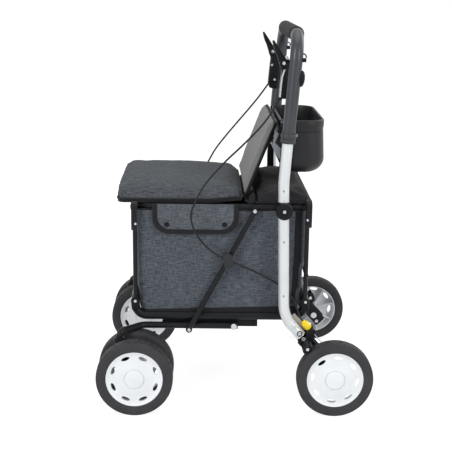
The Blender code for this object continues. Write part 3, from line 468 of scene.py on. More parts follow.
def makeWeaveGroup():   # crossing threads with slubs, laid on the piece's own map in metres
    group, entry, leave = startGroup(
        "melangeWeave", [("Map", "Vector", None), ("Thread", "Float", 900.0)],
        [("Height", "Float"), ("Fleck", "Float"), ("Slub", "Float"), ("Tone", "Float")])
    chart = entry.outputs["Map"]
    parts = group.nodes.new("ShaderNodeSeparateXYZ")
    group.links.new(chart, parts.inputs[0])
    across = sumNode(group, "MULTIPLY", parts.outputs["X"], entry.outputs["Thread"])
    along = sumNode(group, "MULTIPLY", parts.outputs["Y"], entry.outputs["Thread"])
    warp = sumNode(group, "ABSOLUTE", sumNode(group, "SINE", sumNode(group, "MULTIPLY", across, math.pi)))
    weft = sumNode(group, "ABSOLUTE", sumNode(group, "SINE", sumNode(group, "MULTIPLY", along, math.pi)))
    step = sumNode(group, "ADD", sumNode(group, "FLOOR", across), sumNode(group, "FLOOR", along))
    odd = sumNode(group, "ABSOLUTE", sumNode(group, "MODULO", step, 2.0))
    even = sumNode(group, "SUBTRACT", 1.0, odd)
    height = sumNode(group, "ADD", sumNode(group, "MULTIPLY", warp, odd),
                     sumNode(group, "MULTIPLY", weft, even))
    lengthwise = noiseNode(group, stretched(group, chart, (60.0, 520.0, 1.0)), 1.0, 3.0, 0.65)
    crosswise = noiseNode(group, stretched(group, chart, (520.0, 60.0, 1.0)), 1.0, 3.0, 0.65)
    fleck = sumNode(group, "ADD", rangeNode(group, lengthwise, 0.36, 0.66, 0.0, 0.60),
                    rangeNode(group, crosswise, 0.36, 0.66, 0.0, 0.40))
    slubs = noiseNode(group, stretched(group, chart, (40.0, 480.0, 1.0)), 1.0, 2.0, 0.5)
    group.links.new(height, leave.inputs["Height"])
    group.links.new(fleck, leave.inputs["Fleck"])
    group.links.new(rangeNode(group, slubs, 0.58, 0.74), leave.inputs["Slub"])
    group.links.new(noiseNode(group, chart, 22.0, 3.0, 0.6), leave.inputs["Tone"])
    return group


surfaceGroup = makeSurfaceGroup()
weaveGroup = makeWeaveGroup()


def startMaterial(name):
    material = bpy.data.materials.new(name)
    material.use_nodes = True
    tree = material.node_tree
    return material, tree, tree.nodes["Principled BSDF"]


def bumpFrom(tree, shader, height, strength, distance):
    bump = tree.nodes.new("ShaderNodeBump")
    bump.inputs["Strength"].default_value = strength
    bump.inputs["Distance"].default_value = distance
    tree.links.new(height, bump.inputs["Height"])
    tree.links.new(bump.outputs["Normal"], shader.inputs["Normal"])


def hardFinish(name, colour, worn, roughness, metallic, grain, bump, scuffs, toneShare=0.35, gloss=0.5):
    material, tree, shader = startMaterial(name)
    colour, worn = fromScreen(colour), fromScreen(worn)
    surface = tree.nodes.new("ShaderNodeGroup")
    surface.node_tree = surfaceGroup
    surface.inputs["Grain Size"].default_value = grain
    tone = rangeNode(tree, surface.outputs["Tone"], 0.35, 0.65, 0.0, toneShare)
    base = mixColour(tree, tone, colour, worn)
    scuff = sumNode(tree, "MULTIPLY", surface.outputs["Scuff"], scuffs)
    tree.links.new(mixColour(tree, scuff, base, worn), shader.inputs["Base Color"])
    spread = rangeNode(tree, surface.outputs["Grain"], 0.3, 0.7, roughness - 0.05, roughness + 0.05)
    rough = sumNode(tree, "ADD", spread, sumNode(tree, "MULTIPLY", scuff, 0.3), clamp=True)
    tree.links.new(rough, shader.inputs["Roughness"])
    shader.inputs["Metallic"].default_value = metallic
    shader.inputs["Specular IOR Level"].default_value = gloss
    bumpFrom(tree, shader, surface.outputs["Grain"], bump, 0.0002)
    return material


def clothFinish(name, dark, light, thread=900.0, fleckShare=1.0, bump=0.6, sheen=0.25, gloss=0.25):
    material, tree, shader = startMaterial(name)
    dark, light = fromScreen(dark), fromScreen(light)
    chart = tree.nodes.new("ShaderNodeUVMap")
    weave = tree.nodes.new("ShaderNodeGroup")
    weave.node_tree = weaveGroup
    weave.inputs["Thread"].default_value = thread
    tree.links.new(chart.outputs["UV"], weave.inputs["Map"])
    fleck = sumNode(tree, "MULTIPLY", weave.outputs["Fleck"], fleckShare)
    slub = sumNode(tree, "MULTIPLY", weave.outputs["Slub"], 0.35 * fleckShare)
    fleck = sumNode(tree, "ADD", fleck, slub, clamp=True)
    base = mixColour(tree, fleck, dark, light)
    shade = rangeNode(tree, weave.outputs["Tone"], 0.3, 0.7, 0.0, 0.22)
    base = mixColour(tree, shade, base, dark)
    # painted shade: the low points of the weave are darkened towards black
    hollowShade = rangeNode(tree, weave.outputs["Height"], 0.0, 0.7, 0.35, 0.0)
    tree.links.new(mixColour(tree, hollowShade, base, (0.0, 0.0, 0.0, 1.0)), shader.inputs["Base Color"])
    tree.links.new(rangeNode(tree, weave.outputs["Height"], 0.0, 1.0, 0.95, 0.82), shader.inputs["Roughness"])
    shader.inputs["Sheen Weight"].default_value = sheen
    shader.inputs["Sheen Roughness"].default_value = 0.5
    shader.inputs["Specular IOR Level"].default_value = gloss
    bumpFrom(tree, shader, weave.outputs["Height"], bump, 0.0003)
    return material


silverTube = hardFinish("silverTube", (214, 217, 218), (196, 200, 202), 0.34, 0.35, 1400.0, 0.06, 0.3)
blackTube = hardFinish("blackTube", (24, 25, 27), (46, 47, 50), 0.30, 0.0, 1200.0, 0.10, 0.35, 0.2, 0.14)
handlePaint = hardFinish("handlePaint", (60, 62, 67), (78, 80, 84), 0.32, 0.3, 1200.0, 0.08, 0.3, 0.2, 0.35)
blackPlastic = hardFinish("blackPlastic", (18, 19, 21), (38, 39, 42), 0.42, 0.0, 1500.0, 0.25, 0.3, 0.25, 0.12)
collarPlastic = hardFinish("collarPlastic", (48, 50, 53), (66, 68, 71), 0.42, 0.0, 1500.0, 0.2, 0.3, 0.25, 0.35)
wingMetal = hardFinish("wingMetal", (112, 119, 126), (132, 138, 144), 0.45, 0.2, 1500.0, 0.06, 0.2, 0.3, 0.30)
basketPlastic = hardFinish("basketPlastic", (28, 28, 31), (44, 44, 47), 0.44, 0.0, 1700.0, 0.3, 0.3, 0.25, 0.3)
foamRubber = hardFinish("foamRubber", (44, 44, 45), (62, 62, 62), 0.92, 0.0, 2600.0, 0.9, 0.1, 0.3, 0.25)
tyreRubber = hardFinish("tyreRubber", (44, 44, 47), (66, 65, 66), 0.74, 0.0, 1500.0, 0.35, 0.3, 0.4, 0.35)
rimPlastic = hardFinish("rimPlastic", (232, 235, 238), (214, 216, 217), 0.42, 0.0, 1100.0, 0.05, 0.15, 0.3)
steel = hardFinish("steel", (200, 202, 206), (150, 150, 154), 0.26, 1.0, 1800.0, 0.05, 0.4)
zincPlate = hardFinish("zincPlate", (178, 172, 158), (140, 136, 128), 0.40, 0.8, 1600.0, 0.08, 0.4)
yellowPlastic = hardFinish("yellowPlastic", (246, 214, 30), (228, 190, 20), 0.42, 0.0, 1500.0, 0.1, 0.2)
cableSheath = hardFinish("cableSheath", (26, 27, 29), (52, 53, 56), 0.40, 0.0, 2200.0, 0.15, 0.2, 0.2, 0.20)
clipPlastic = hardFinish("clipPlastic", (40, 42, 45), (58, 60, 62), 0.50, 0.0, 1500.0, 0.2, 0.2, 0.2, 0.20)
greyMark = hardFinish("greyMark", (96, 98, 100), (120, 120, 122), 0.6, 0.0, 1500.0, 0.05, 0.1)
# pale trim colour; it also paints the highlight strips on the lever housings and hanger folds
paleTrimAndHighlight = hardFinish("paleTrimAndHighlight", (206, 209, 212), (180, 183, 186), 0.32, 0.2, 1500.0, 0.05, 0.2)

bagCloth = clothFinish("bagCloth", (32, 36, 44), (112, 119, 129))
flapCloth = clothFinish("flapCloth", (38, 42, 49), (118, 124, 132))
cushionCloth = clothFinish("cushionCloth", (46, 50, 55), (114, 118, 123), 900.0, 0.9, 0.6, 0.04, 0.08)
backCloth = clothFinish("backCloth", (90, 92, 91), (144, 146, 143), 900.0, 0.9)
lidCloth = clothFinish("lidCloth", (32, 32, 36), (54, 54, 58), 1400.0, 0.5, 0.4, 0.1)
webbing = clothFinish("webbing", (18, 18, 21), (38, 38, 41), 1000.0, 0.5, 0.8, 0.15)
print("finishes ready")


# camera, lamps and floor

view = {"spot": (-0.0796, -2.4078, 0.9453), "turn": (76.546, -0.804, -1.284), "lens": 82.52}


def setCamera():
    bpy.ops.object.camera_add(location=view["spot"], rotation=[math.radians(angle) for angle in view["turn"]])
    camera = bpy.context.object
    camera.data.lens = view["lens"]
    camera.data.sensor_width = 36.0
    bpy.context.scene.camera = camera


lamps = {
    "frontLeft": ((-2.1, -2.5, 1.9), (1.0, 2.0), 50.0),
    "frontRight": ((2.1, -2.3, 1.6), (0.6, 1.9), 30.0),
    "above": ((0.2, 0.1, 3.2), (2.4, 2.4), 32.0),
    "rear": ((2.4, 1.4, 1.8), (1.6, 1.6), 18.0),
}


def setLamps():
    for label, (spot, size, power) in lamps.items():
        way = Vector((0.0, 0.0, 0.4)) - Vector(spot)
        clearSelection()
        bpy.ops.object.light_add(type="AREA", location=spot, rotation=way.to_track_quat("-Z", "Y").to_euler())
        lamp = bpy.context.object
        lamp.name = label + "Lamp"
        lamp.data.shape = "RECTANGLE"
        lamp.data.size, lamp.data.size_y = size
        lamp.data.energy = power


def seenDirectly(tree):   # camera, mirror and glass rays
    paths = tree.nodes.new("ShaderNodeLightPath")
    both = sumNode(tree, "MAXIMUM", paths.outputs["Is Camera Ray"], paths.outputs["Is Glossy Ray"])
    return sumNode(tree, "MAXIMUM", both, paths.outputs["Is Transmission Ray"])


def mixSeen(tree, hidden, seen, ending):   # one shader lights the object, the other is what is looked at
    mix = tree.nodes.new("ShaderNodeMixShader")
    tree.links.new(seenDirectly(tree), mix.inputs[0])
    tree.links.new(hidden.outputs[0], mix.inputs[1])
    tree.links.new(seen.outputs[0], mix.inputs[2])
    tree.links.new(mix.outputs[0], tree.nodes.new(ending).inputs[0])


backdrop = {
    "light": 0.50, "paint": (0.80, 0.80, 0.80, 1.0), "seenPaint": (0.34, 0.34, 0.34, 1.0), "seenGlow": 0.86,
}


def setBackground():
    world = bpy.data.worlds.new("studio")
    bpy.context.scene.world = world
    world.use_nodes = True
    tree = world.node_tree
    tree.nodes.clear()
    tints = []
    for strength in (backdrop["light"], 1.0):
        tint = tree.nodes.new("ShaderNodeBackground")
        tint.inputs["Color"].default_value = (1.0, 1.0, 1.0, 1.0)
        tint.inputs["Strength"].default_value = strength
        tints.append(tint)
    mixSeen(tree, tints[0], tints[1], "ShaderNodeOutputWorld")
    clearSelection()
    bpy.ops.mesh.primitive_plane_add(size=80.0, location=(0.0, 0.0, 0.0))
    floor = bpy.context.object
    floor.name = "paleFloor"
    material = bpy.data.materials.new("paleFloor")
    material.use_nodes = True
    tree = material.node_tree
    tree.nodes.clear()
    paint = tree.nodes.new("ShaderNodeBsdfDiffuse")
    paint.inputs["Color"].default_value = backdrop["paint"]
    thin = tree.nodes.new("ShaderNodeBsdfDiffuse")
    thin.inputs["Color"].default_value = backdrop["seenPaint"]
    glow = tree.nodes.new("ShaderNodeEmission")
    glow.inputs["Strength"].default_value = backdrop["seenGlow"]
    both = tree.nodes.new("ShaderNodeAddShader")
    tree.links.new(thin.outputs[0], both.inputs[0])
    tree.links.new(glow.outputs[0], both.inputs[1])
    mixSeen(tree, paint, both, "ShaderNodeOutputMaterial")
    dress(floor, material)


setCamera()
setLamps()
setBackground()
bpy.context.scene.view_settings.view_transform = "Standard"
print("camera, lamps and floor set")


# brake cables

cable = {
    "radius": 0.0021, "points": 60, "shared": 14,   # the far one follows the near route from this point on
    "farStart": [   # hangs in another bow than the near one, and joins its line below the clip
        (0.0895, 0.1790, 0.6945), (0.0850, 0.1800, 0.6880), (0.0667, 0.1870, 0.6608), (0.0425, 0.1940, 0.6289),
        (0.0200, 0.1990, 0.6010), (0.0012, 0.2030, 0.5778), (-0.0152, 0.2070, 0.5570),
        (-0.0430, 0.2125, 0.5189), (-0.0598, 0.2150, 0.4878), (-0.0790, 0.2160, 0.4560),
        (-0.0905, 0.2155, 0.4330), (-0.0885, 0.2120, 0.4080), (-0.0760, 0.2070, 0.3830),
        (-0.0560, 0.2020, 0.3620), (-0.0300, 0.1965, 0.3445),
    ],
    "route": [
        (0.0895, -0.1790, 0.6945), (0.0858, -0.1795, 0.6885), (0.0785, -0.1810, 0.6770),
        (0.0655, -0.1860, 0.6550), (0.0440, -0.1915, 0.6290), (0.0083, -0.1980, 0.5930),
        (-0.0293, -0.2050, 0.5575), (-0.0692, -0.2120, 0.5120), (-0.0905, -0.2150, 0.4740),
        (-0.0992, -0.2150, 0.4471), (-0.0970, -0.2135, 0.4235), (-0.0855, -0.2090, 0.3975),
        (-0.0618, -0.2030, 0.3665), (-0.0300, -0.1965, 0.3445), (-0.0063, -0.1940, 0.3336),
        (0.0531, -0.1915, 0.3060), (0.0963, -0.1898, 0.2810), (0.1100, -0.1898, 0.2695),
        (0.1252, -0.1904, 0.2530), (0.1390, -0.1960, 0.2290),
        (0.1447781, -0.2048, 0.2091066), (0.1514251, -0.2050, 0.2016356),
    ],
}


def smoothRoute(through, count):   # centripetal curve through the points, evenly spaced
    points = [Vector(spot) for spot in through]
    points = [points[0] * 2.0 - points[1]] + points + [points[-1] * 2.0 - points[-2]]
    dense = []
    for index in range(1, len(points) - 2):
        one, two, three, four = points[index - 1:index + 3]
        knot = [0.0]
        for start, end in ((one, two), (two, three), (three, four)):
            knot.append(knot[-1] + math.sqrt(max((end - start).length, 1e-9)))
        for number in range(24):
            at = knot[1] + (knot[2] - knot[1]) * number / 24.0
            a = one.lerp(two, (at - knot[0]) / (knot[1] - knot[0]))
            b = two.lerp(three, (at - knot[1]) / (knot[2] - knot[1]))
            c = three.lerp(four, (at - knot[2]) / (knot[3] - knot[2]))
            low = a.lerp(b, (at - knot[0]) / (knot[2] - knot[0]))
            high = b.lerp(c, (at - knot[1]) / (knot[3] - knot[1]))
            dense.append(low.lerp(high, (at - knot[1]) / (knot[2] - knot[1])))
    dense.append(points[-2])
    run = [0.0]
    for here, there in zip(dense, dense[1:]):
        run.append(run[-1] + (there - here).length)
    spread = []
    place = 0
    for number in range(count):
        target = run[-1] * number / (count - 1)
        while place < len(run) - 2 and run[place + 1] < target:
            place += 1
        share = (target - run[place]) / max(run[place + 1] - run[place], 1e-12)
        spread.append(dense[place].lerp(dense[place + 1], share))
    return spread


def makeCables():
    far = cable["farStart"] + [(x, -y, z) for x, y, z in cable["route"][cable["shared"]:]]
    for side, route in (("Left", cable["route"]), ("Right", far)):
        line = smoothRoute(route, cable["points"])
        piece = smooth(tubeFrom("brakeCable" + side, line, cable["radius"], resolution=4))
        dress(piece, cableSheath)
        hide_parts("brake_cable_" + side.lower())
        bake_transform(piece)


makeCables()


# wheels

wheelShape = {
    "radius": 0.085, "steps": 72, "axleX": 0.2215, "outerY": 0.255, "innerY": 0.181,
    "tyre": [
        (0.0630, -0.0148), (0.0652, -0.0160), (0.0690, -0.0170), (0.0760, -0.0175), (0.0800, -0.0171),
        (0.0812, -0.0164), (0.0817, -0.0160), (0.0823, -0.0161), (0.0832, -0.0158), (0.0843, -0.0147),
        (0.0848, -0.0130), (0.0850, -0.0082), (0.0850, -0.0034), (0.0850, 0.0034), (0.0850, 0.0082),
        (0.0848, 0.0130), (0.0843, 0.0147), (0.0832, 0.0158), (0.0823, 0.0161), (0.0817, 0.0160),
        (0.0812, 0.0164), (0.0800, 0.0171), (0.0760, 0.0175), (0.0690, 0.0170), (0.0652, 0.0160),
        (0.0630, 0.0148),
    ],
    "disc": [   # outer face is towards +
        (0.0, 0.0166), (0.0150, 0.0165), (0.0202, 0.0162), (0.0212, 0.0156), (0.0215, 0.0140), (0.0223, 0.0138),
        (0.0227, 0.0153), (0.0240, 0.0154), (0.0330, 0.0137), (0.0420, 0.0122), (0.0500, 0.0116),
        (0.0560, 0.0122), (0.0590, 0.0138), (0.0606, 0.0149), (0.0618, 0.0152), (0.0626, 0.0148),
        (0.0628, 0.0138), (0.0628, -0.0142), (0.0620, -0.0150), (0.0608, -0.0150), (0.0598, -0.0138),
        (0.0590, -0.0060), (0.0580, 0.0060), (0.0560, 0.0086), (0.0500, 0.0088), (0.0420, 0.0094),
        (0.0330, 0.0108), (0.0240, 0.0122), (0.0180, 0.0122), (0.0160, 0.0100), (0.0150, -0.0140),
        (0.0140, -0.0164), (0.0080, -0.0166), (0.0056, -0.0164), (0.0054, -0.0150), (0.0054, 0.0112),
        (0.0, 0.0118),
    ],
    "windows": 8, "windowReach": 0.0500, "windowLong": 0.0098, "windowHigh": 0.0041, "ribs": 8,
}


def makeTyre():   # axis on Y, centre at the origin
    tyre = spunFrom("tyre", wheelShape["tyre"], (0, 0, 0), (0, 1, 0), wheelShape["steps"], True)
    bpy.ops.object.mode_set(mode="EDIT")
    work = bmesh.from_edit_mesh(tyre.data)
    for face in work.faces:
        spot = face.calc_center_median()
        reach = math.hypot(spot.x, spot.z)
        number = round((math.atan2(spot.z, spot.x) / math.tau) * wheelShape["steps"] - 0.5)
        shoulder = 0.0085 < abs(spot.y) < 0.0125 and reach > 0.0835
        middle = abs(spot.y) < 0.0034 and reach > 0.0845
        side = 1 if spot.y > 0.0 else 0
        face.select = (shoulder and number % 2 == side) or (middle and number % 4 == 0)
    bmesh.update_edit_mesh(tyre.data)
    bpy.ops.mesh.inset(thickness=0.0007, depth=0.0, use_individual=True)
    bpy.ops.mesh.inset(thickness=0.0004, depth=-0.0018, use_individual=True)
    leaveEdit()
    return smooth(dress(facesOut(tyre), tyreRubber), 34.0)


def makeRim(firstWindow):
    rim = spunFrom("rim", wheelShape["disc"], (0, 0, 0), (0, 1, 0), wheelShape["steps"])
    holes = []
    for number in range(wheelShape["windows"]):
        angle = math.radians(firstWindow + 360.0 / wheelShape["windows"] * number)
        spot = (wheelShape["windowReach"] * math.cos(angle), 0.0, wheelShape["windowReach"] * math.sin(angle))
        clearSelection()
        bpy.ops.mesh.primitive_cylinder_add(vertices=28, radius=1.0, depth=0.05, end_fill_type="NGON",
                                            rotation=(math.pi / 2.0, 0.0, 0.0))
        hole = settle(bpy.context.object, "hole")
        hole.scale = (wheelShape["windowHigh"], 1.0, wheelShape["windowLong"])
        settle(hole, "hole")
        hole.matrix_world = Matrix.Translation(Vector(spot)) @ Matrix.Rotation(-angle, 4, "Y")
        holes.append(settle(hole, "hole"))
    cutWith(rim, joined("holes", holes))
    bpy.ops.object.mode_set(mode="EDIT")
    bpy.ops.mesh.select_all(action="DESELECT")
    work = bmesh.from_edit_mesh(rim.data)
    for edge in work.edges:
        if edge.is_manifold and edge.calc_face_angle(0.0) > math.radians(55.0):
            spot = (edge.verts[0].co + edge.verts[1].co) / 2.0
            reach = math.hypot(spot.x, spot.z)
            edge.select = 0.0465 < reach < 0.0562 and spot.y > 0.0105
    bmesh.update_edit_mesh(rim.data)
    bpy.ops.mesh.bevel(offset=0.0006, segments=2, affect="EDGES")
    leaveEdit()
    ribs = []
    for number in range(wheelShape["ribs"]):
        angle = math.radians(firstWindow + 22.5) + math.tau * number / wheelShape["ribs"]
        rib = boxFrom("rib", (0.0148, -0.0120, -0.0009), (0.0594, 0.0104, 0.0009), 0.0003, 1)
        rib.matrix_world = Matrix.Rotation(-angle, 4, "Y")
        ribs.append(settle(rib, "rib"))
    return smooth(dress(joined("rim", [rim] + ribs), rimPlastic), 30.0)


def makeWheels():
    tyre = makeTyre()
    rims = {"rear": makeRim(-7.5), "front": makeRim(22.5)}
    far, outer, inner = wheelShape["axleX"], wheelShape["outerY"], wheelShape["innerY"]
    places = [
        ("rearWheelRight", "rear_wheel_right", "rear", "right", far, outer, 1.0),
        ("rearWheelLeft", "rear_wheel_left", "rear", "left", far, -outer, -1.0),
        ("frontOuterRight", "outer_wheel_right", "front", "outer_right", -far, outer, 1.0),
        ("frontInnerRight", "inner_wheel_right", "front", "inner_right", -far, inner, -1.0),
        ("frontOuterLeft", "outer_wheel_left", "front", "outer_left", -far, -outer, -1.0),
        ("frontInnerLeft", "inner_wheel_left", "front", "inner_left", -far, -inner, 1.0),
    ]
    for name, body, row, ending, x, y, facing in places:
        for label, start in (("Tyre", tyre), ("Rim", rims[row])):
            piece = copyOf(start, name + label, mirrored=facing < 0.0)
            piece.location = (x, y, wheelShape["radius"])
            settle(piece, name + label)
            hand(piece, None, body, row + "_" + label.lower() + "_" + ending)
    for start in (tyre, rims["rear"], rims["front"]):
        bpy.data.objects.remove(start, do_unlink=True)


makeWheels()
print("wheels made")


# screws and rivets

def screwHead(name, centre, direction, radius, height, style):
    edge = radius * 0.18
    rise = [(0.0, -0.0004), (radius, -0.0004), (radius, height - edge), (radius - edge, height),
            (radius * 0.52, height)]
    if style == "hex":
        rise += [(radius * 0.45, height * 0.45), (0.0, height * 0.45)]
    else:
        rise += [(radius * 0.30, height * 1.12), (0.0, height * 1.16)]
    piece = spunFrom(name, rise, (0, 0, 0), (0, 0, 1), 24)
    return smooth(aim(piece, centre, direction, name), 32.0)


def screwSet(name, places, material, body, mirror=True):
    heads = [screwHead(name, *place) for place in places]
    piece = joined(name, heads) if len(heads) > 1 else heads[0]
    if mirror:
        return bothSides(piece, material, body)
    return hand(piece, material, body)


# rear posts, caps and arrow marks

postShape = {
    "side": 0.205, "radius": 0.012,
    "line": [(0.1490, 0.1670), (0.1090, 0.2120), (0.1027, 0.4550), (0.1010, 0.5150), (0.11826, 0.7500)],
    "bends": [0.0, 0.085, 0.8, 0.15, 0.0],
    "capAt": (0.103, 0.455), "cap": 0.0185,
    "arrows": [(0.1007, 0.4990), (0.1042, 0.3856), (0.1069, 0.2622)],
}


def makePosts():
    side = postShape["side"]
    line = bentLine([(x, side, z) for x, z in postShape["line"]], postShape["bends"], 3.0)
    post = smooth(tubeFrom("rearPostRight", line, postShape["radius"], resolution=8))
    bothSides(post, silverTube, "rear_frame", "lower_post_SIDE", "upper_post_SIDE")
    big = postShape["cap"]
    capX, capZ = postShape["capAt"]
    cap = spunFrom("pivotCapRight", [
        (0.0, 0.2060), (big - 0.0022, 0.2060), (big - 0.0006, 0.2068), (big, 0.2084), (big, 0.2250),
        (big - 0.0006, 0.2266), (big - 0.0018, 0.2278), (big - 0.0050, 0.2284), (0.0066, 0.2284),
        (0.0062, 0.2276), (0.0058, 0.2262), (0.0, 0.2262)], (capX, 0.0, capZ), (0, 1, 0), 56)
    hug = [(0.0119, 0.4680), (0.0126, 0.4680), (0.0130, 0.4684), (0.0130, 0.4728), (0.0126, 0.4734),
           (0.0119, 0.4734)]
    lip = spunFrom("lip", hug, (0.1026, side, 0.0), (0, 0, 1), 40, True)   # hugs the tube
    cap = smooth(joined("pivotCapRight", [cap, lip]), 32.0)
    bothSides(cap, blackPlastic, "rear_frame", "pivot_cap_SIDE")
    screw = ((capX, 0.2262, capZ), (0, 1, 0), 0.0039, 0.0026, "hex")
    screwSet("pivotScrewRight", [screw], steel, "rear_frame")
    marks = []
    for x, z in postShape["arrows"]:
        tip = [(x, z + 0.0030), (x - 0.0024, z - 0.0006), (x - 0.0006, z - 0.0006), (x - 0.0006, z - 0.0034),
               (x + 0.0006, z - 0.0034), (x + 0.0006, z - 0.0006), (x + 0.0024, z - 0.0006)]
        marks.append(plateFrom("arrow", tip, side + 0.0110, side + 0.0121, 0.0))
    bothSides(joined("arrowMarksRight", marks), greyMark, "rear_frame")
    plug = [(0.0, -0.0018), (0.0098, -0.0018), (0.0108, -0.0006), (0.0108, 0.004), (0.0, 0.004)]
    plug = spunFrom("postPlugRight", plug, (0.1490, side, 0.1670), (-0.664, 0.0, 0.7475), 32)
    bothSides(smooth(plug), blackPlastic, "rear_frame")
    bolt = (0.1450, side + 0.0112, 0.1745)
    washer = [(0.0040, -0.0006), (0.0066, -0.0006), (0.0066, 0.0008), (0.0060, 0.0012), (0.0040, 0.0012)]
    washer = spunFrom("postEndRingRight", washer, bolt, (0, 1, 0), 32, True)
    bothSides(smooth(washer), blackPlastic, "rear_frame")
    screwSet("postEndBoltRight", [(bolt, (0, 1, 0), 0.0046, 0.0024, "hex")], steel, "rear_frame")
    rivet = ((0.1325, side + 0.0114, 0.1890), (0, 1, 0), 0.0050, 0.0009, "dome")
    screwSet("postRivetRight", [rivet], paleTrimAndHighlight, "rear_frame")


makePosts()
print("posts made")


# handle, foam and collars

handleShape = {
    "side": 0.205, "radius": 0.014, "low": (0.10898, 0.6236), "top": (0.12421, 0.831), "bend": 0.054,
    "foam": 0.0166, "foamHalf": 0.155, "lean": (0.07324, 0.0, 0.99731),
}


def makeHandle():
    side = handleShape["side"]
    low, top = handleShape["low"], handleShape["top"]
    line = bentLine([(low[0], side, low[1]), (top[0], side, top[1]), (top[0], -side, top[1]),
                     (low[0], -side, low[1])],
                    [0.0, handleShape["bend"], handleShape["bend"], 0.0], 5.0)
    grip = smooth(tubeFrom("handleTube", line, handleShape["radius"], resolution=9))
    hand(grip, handlePaint, "handle", "handle_tube")
    sleeve = [(0.0120, 0.0), (0.0147, 0.0), (0.0151, 0.0005), (0.0151, 0.0042), (0.0146, 0.0048),
              (0.0120, 0.0048)]
    rings = [spunFrom("ring", sleeve, (low[0], y, low[1]), handleShape["lean"], 40, True)
             for y in (side, -side)]
    hand(smooth(joined("handleSleeves", rings)), collarPlastic, "handle")
    size, half = handleShape["foam"], handleShape["foamHalf"]
    profile = [(0.0140, -half), (0.0152, -half), (0.0160, -half + 0.0010), (size, -half + 0.0032)]
    count = 60
    for number in range(count + 1):
        along = -half + 0.005 + (2.0 * half - 0.010) * number / count
        profile.append((size - 0.00025 + 0.00022 * math.cos(number * math.pi), along))
    profile += [(size, half - 0.0032), (0.0160, half - 0.0010), (0.0152, half), (0.0140, half)]
    foam = spunFrom("foamGrip", profile, (top[0], 0.0, top[1]), (0, 1, 0), 48, True)
    hand(smooth(foam, 50.0), foamRubber, "handle", "foam_grip")


def makeCollars():
    side = handleShape["side"]
    base = (0.1010 + 0.0872 * 0.07344, side, 0.6022)
    collar = spunFrom("heightCollarRight", [
        (0.0122, 0.0), (0.0152, 0.0), (0.0160, 0.0008), (0.0164, 0.0030), (0.0164, 0.0090), (0.0156, 0.0098),
        (0.0156, 0.0112), (0.0168, 0.0120), (0.0170, 0.0130), (0.0170, 0.0188), (0.0166, 0.0200),
        (0.0156, 0.0208), (0.0122, 0.0208)], base, handleShape["lean"], 48, True)
    lug = [(0.0, -0.004), (0.0045, -0.004), (0.0045, 0.0050), (0.0040, 0.0056), (0.0, 0.0056)]
    lug = spunFrom("lug", lug, (0.1205, side, 0.6185), (1, 0, 0), 24)
    ear = boxFrom("ear", (0.1120, side - 0.0042, 0.6050), (0.1230, side + 0.0042, 0.6228), 0.0010)
    collar = smooth(joined("heightCollarRight", [collar, lug, ear]))
    bothSides(collar, collarPlastic, "rear_frame", "height_collar_SIDE")
    screw = ((0.1258, side, 0.6185), (1, 0, 0), 0.0032, 0.0016, "hex")
    screwSet("collarScrewRight", [screw], steel, "rear_frame")


makeHandle()
makeCollars()
print("handle made")


# brake levers

leverShape = {
    "pivot": (0.0960, 0.7710),
    "body": [((0.1030, 0.7530), 0.0118), ((0.1070, 0.7530), 0.0098), ((0.0920, 0.7010), 0.0055),
             ((0.1070, 0.7000), 0.0050)],
    "ear": [((0.0960, 0.7710), 0.0097), ((0.1040, 0.7700), 0.0088), ((0.1040, 0.7540), 0.0105)],
    "root": [((0.0960, 0.7710), 0.0094), ((0.0880, 0.7865), 0.0067)],
    "blade": [(0.0880, 0.7875), (0.0724, 0.8182)],
    # these points trace a pale strip along the housing's front edge, a painted highlight
    "trim": [(0.0975, 0.7580), (0.0925, 0.7430), (0.0906, 0.7253), (0.0895, 0.7100), (0.0888, 0.6990)],
}


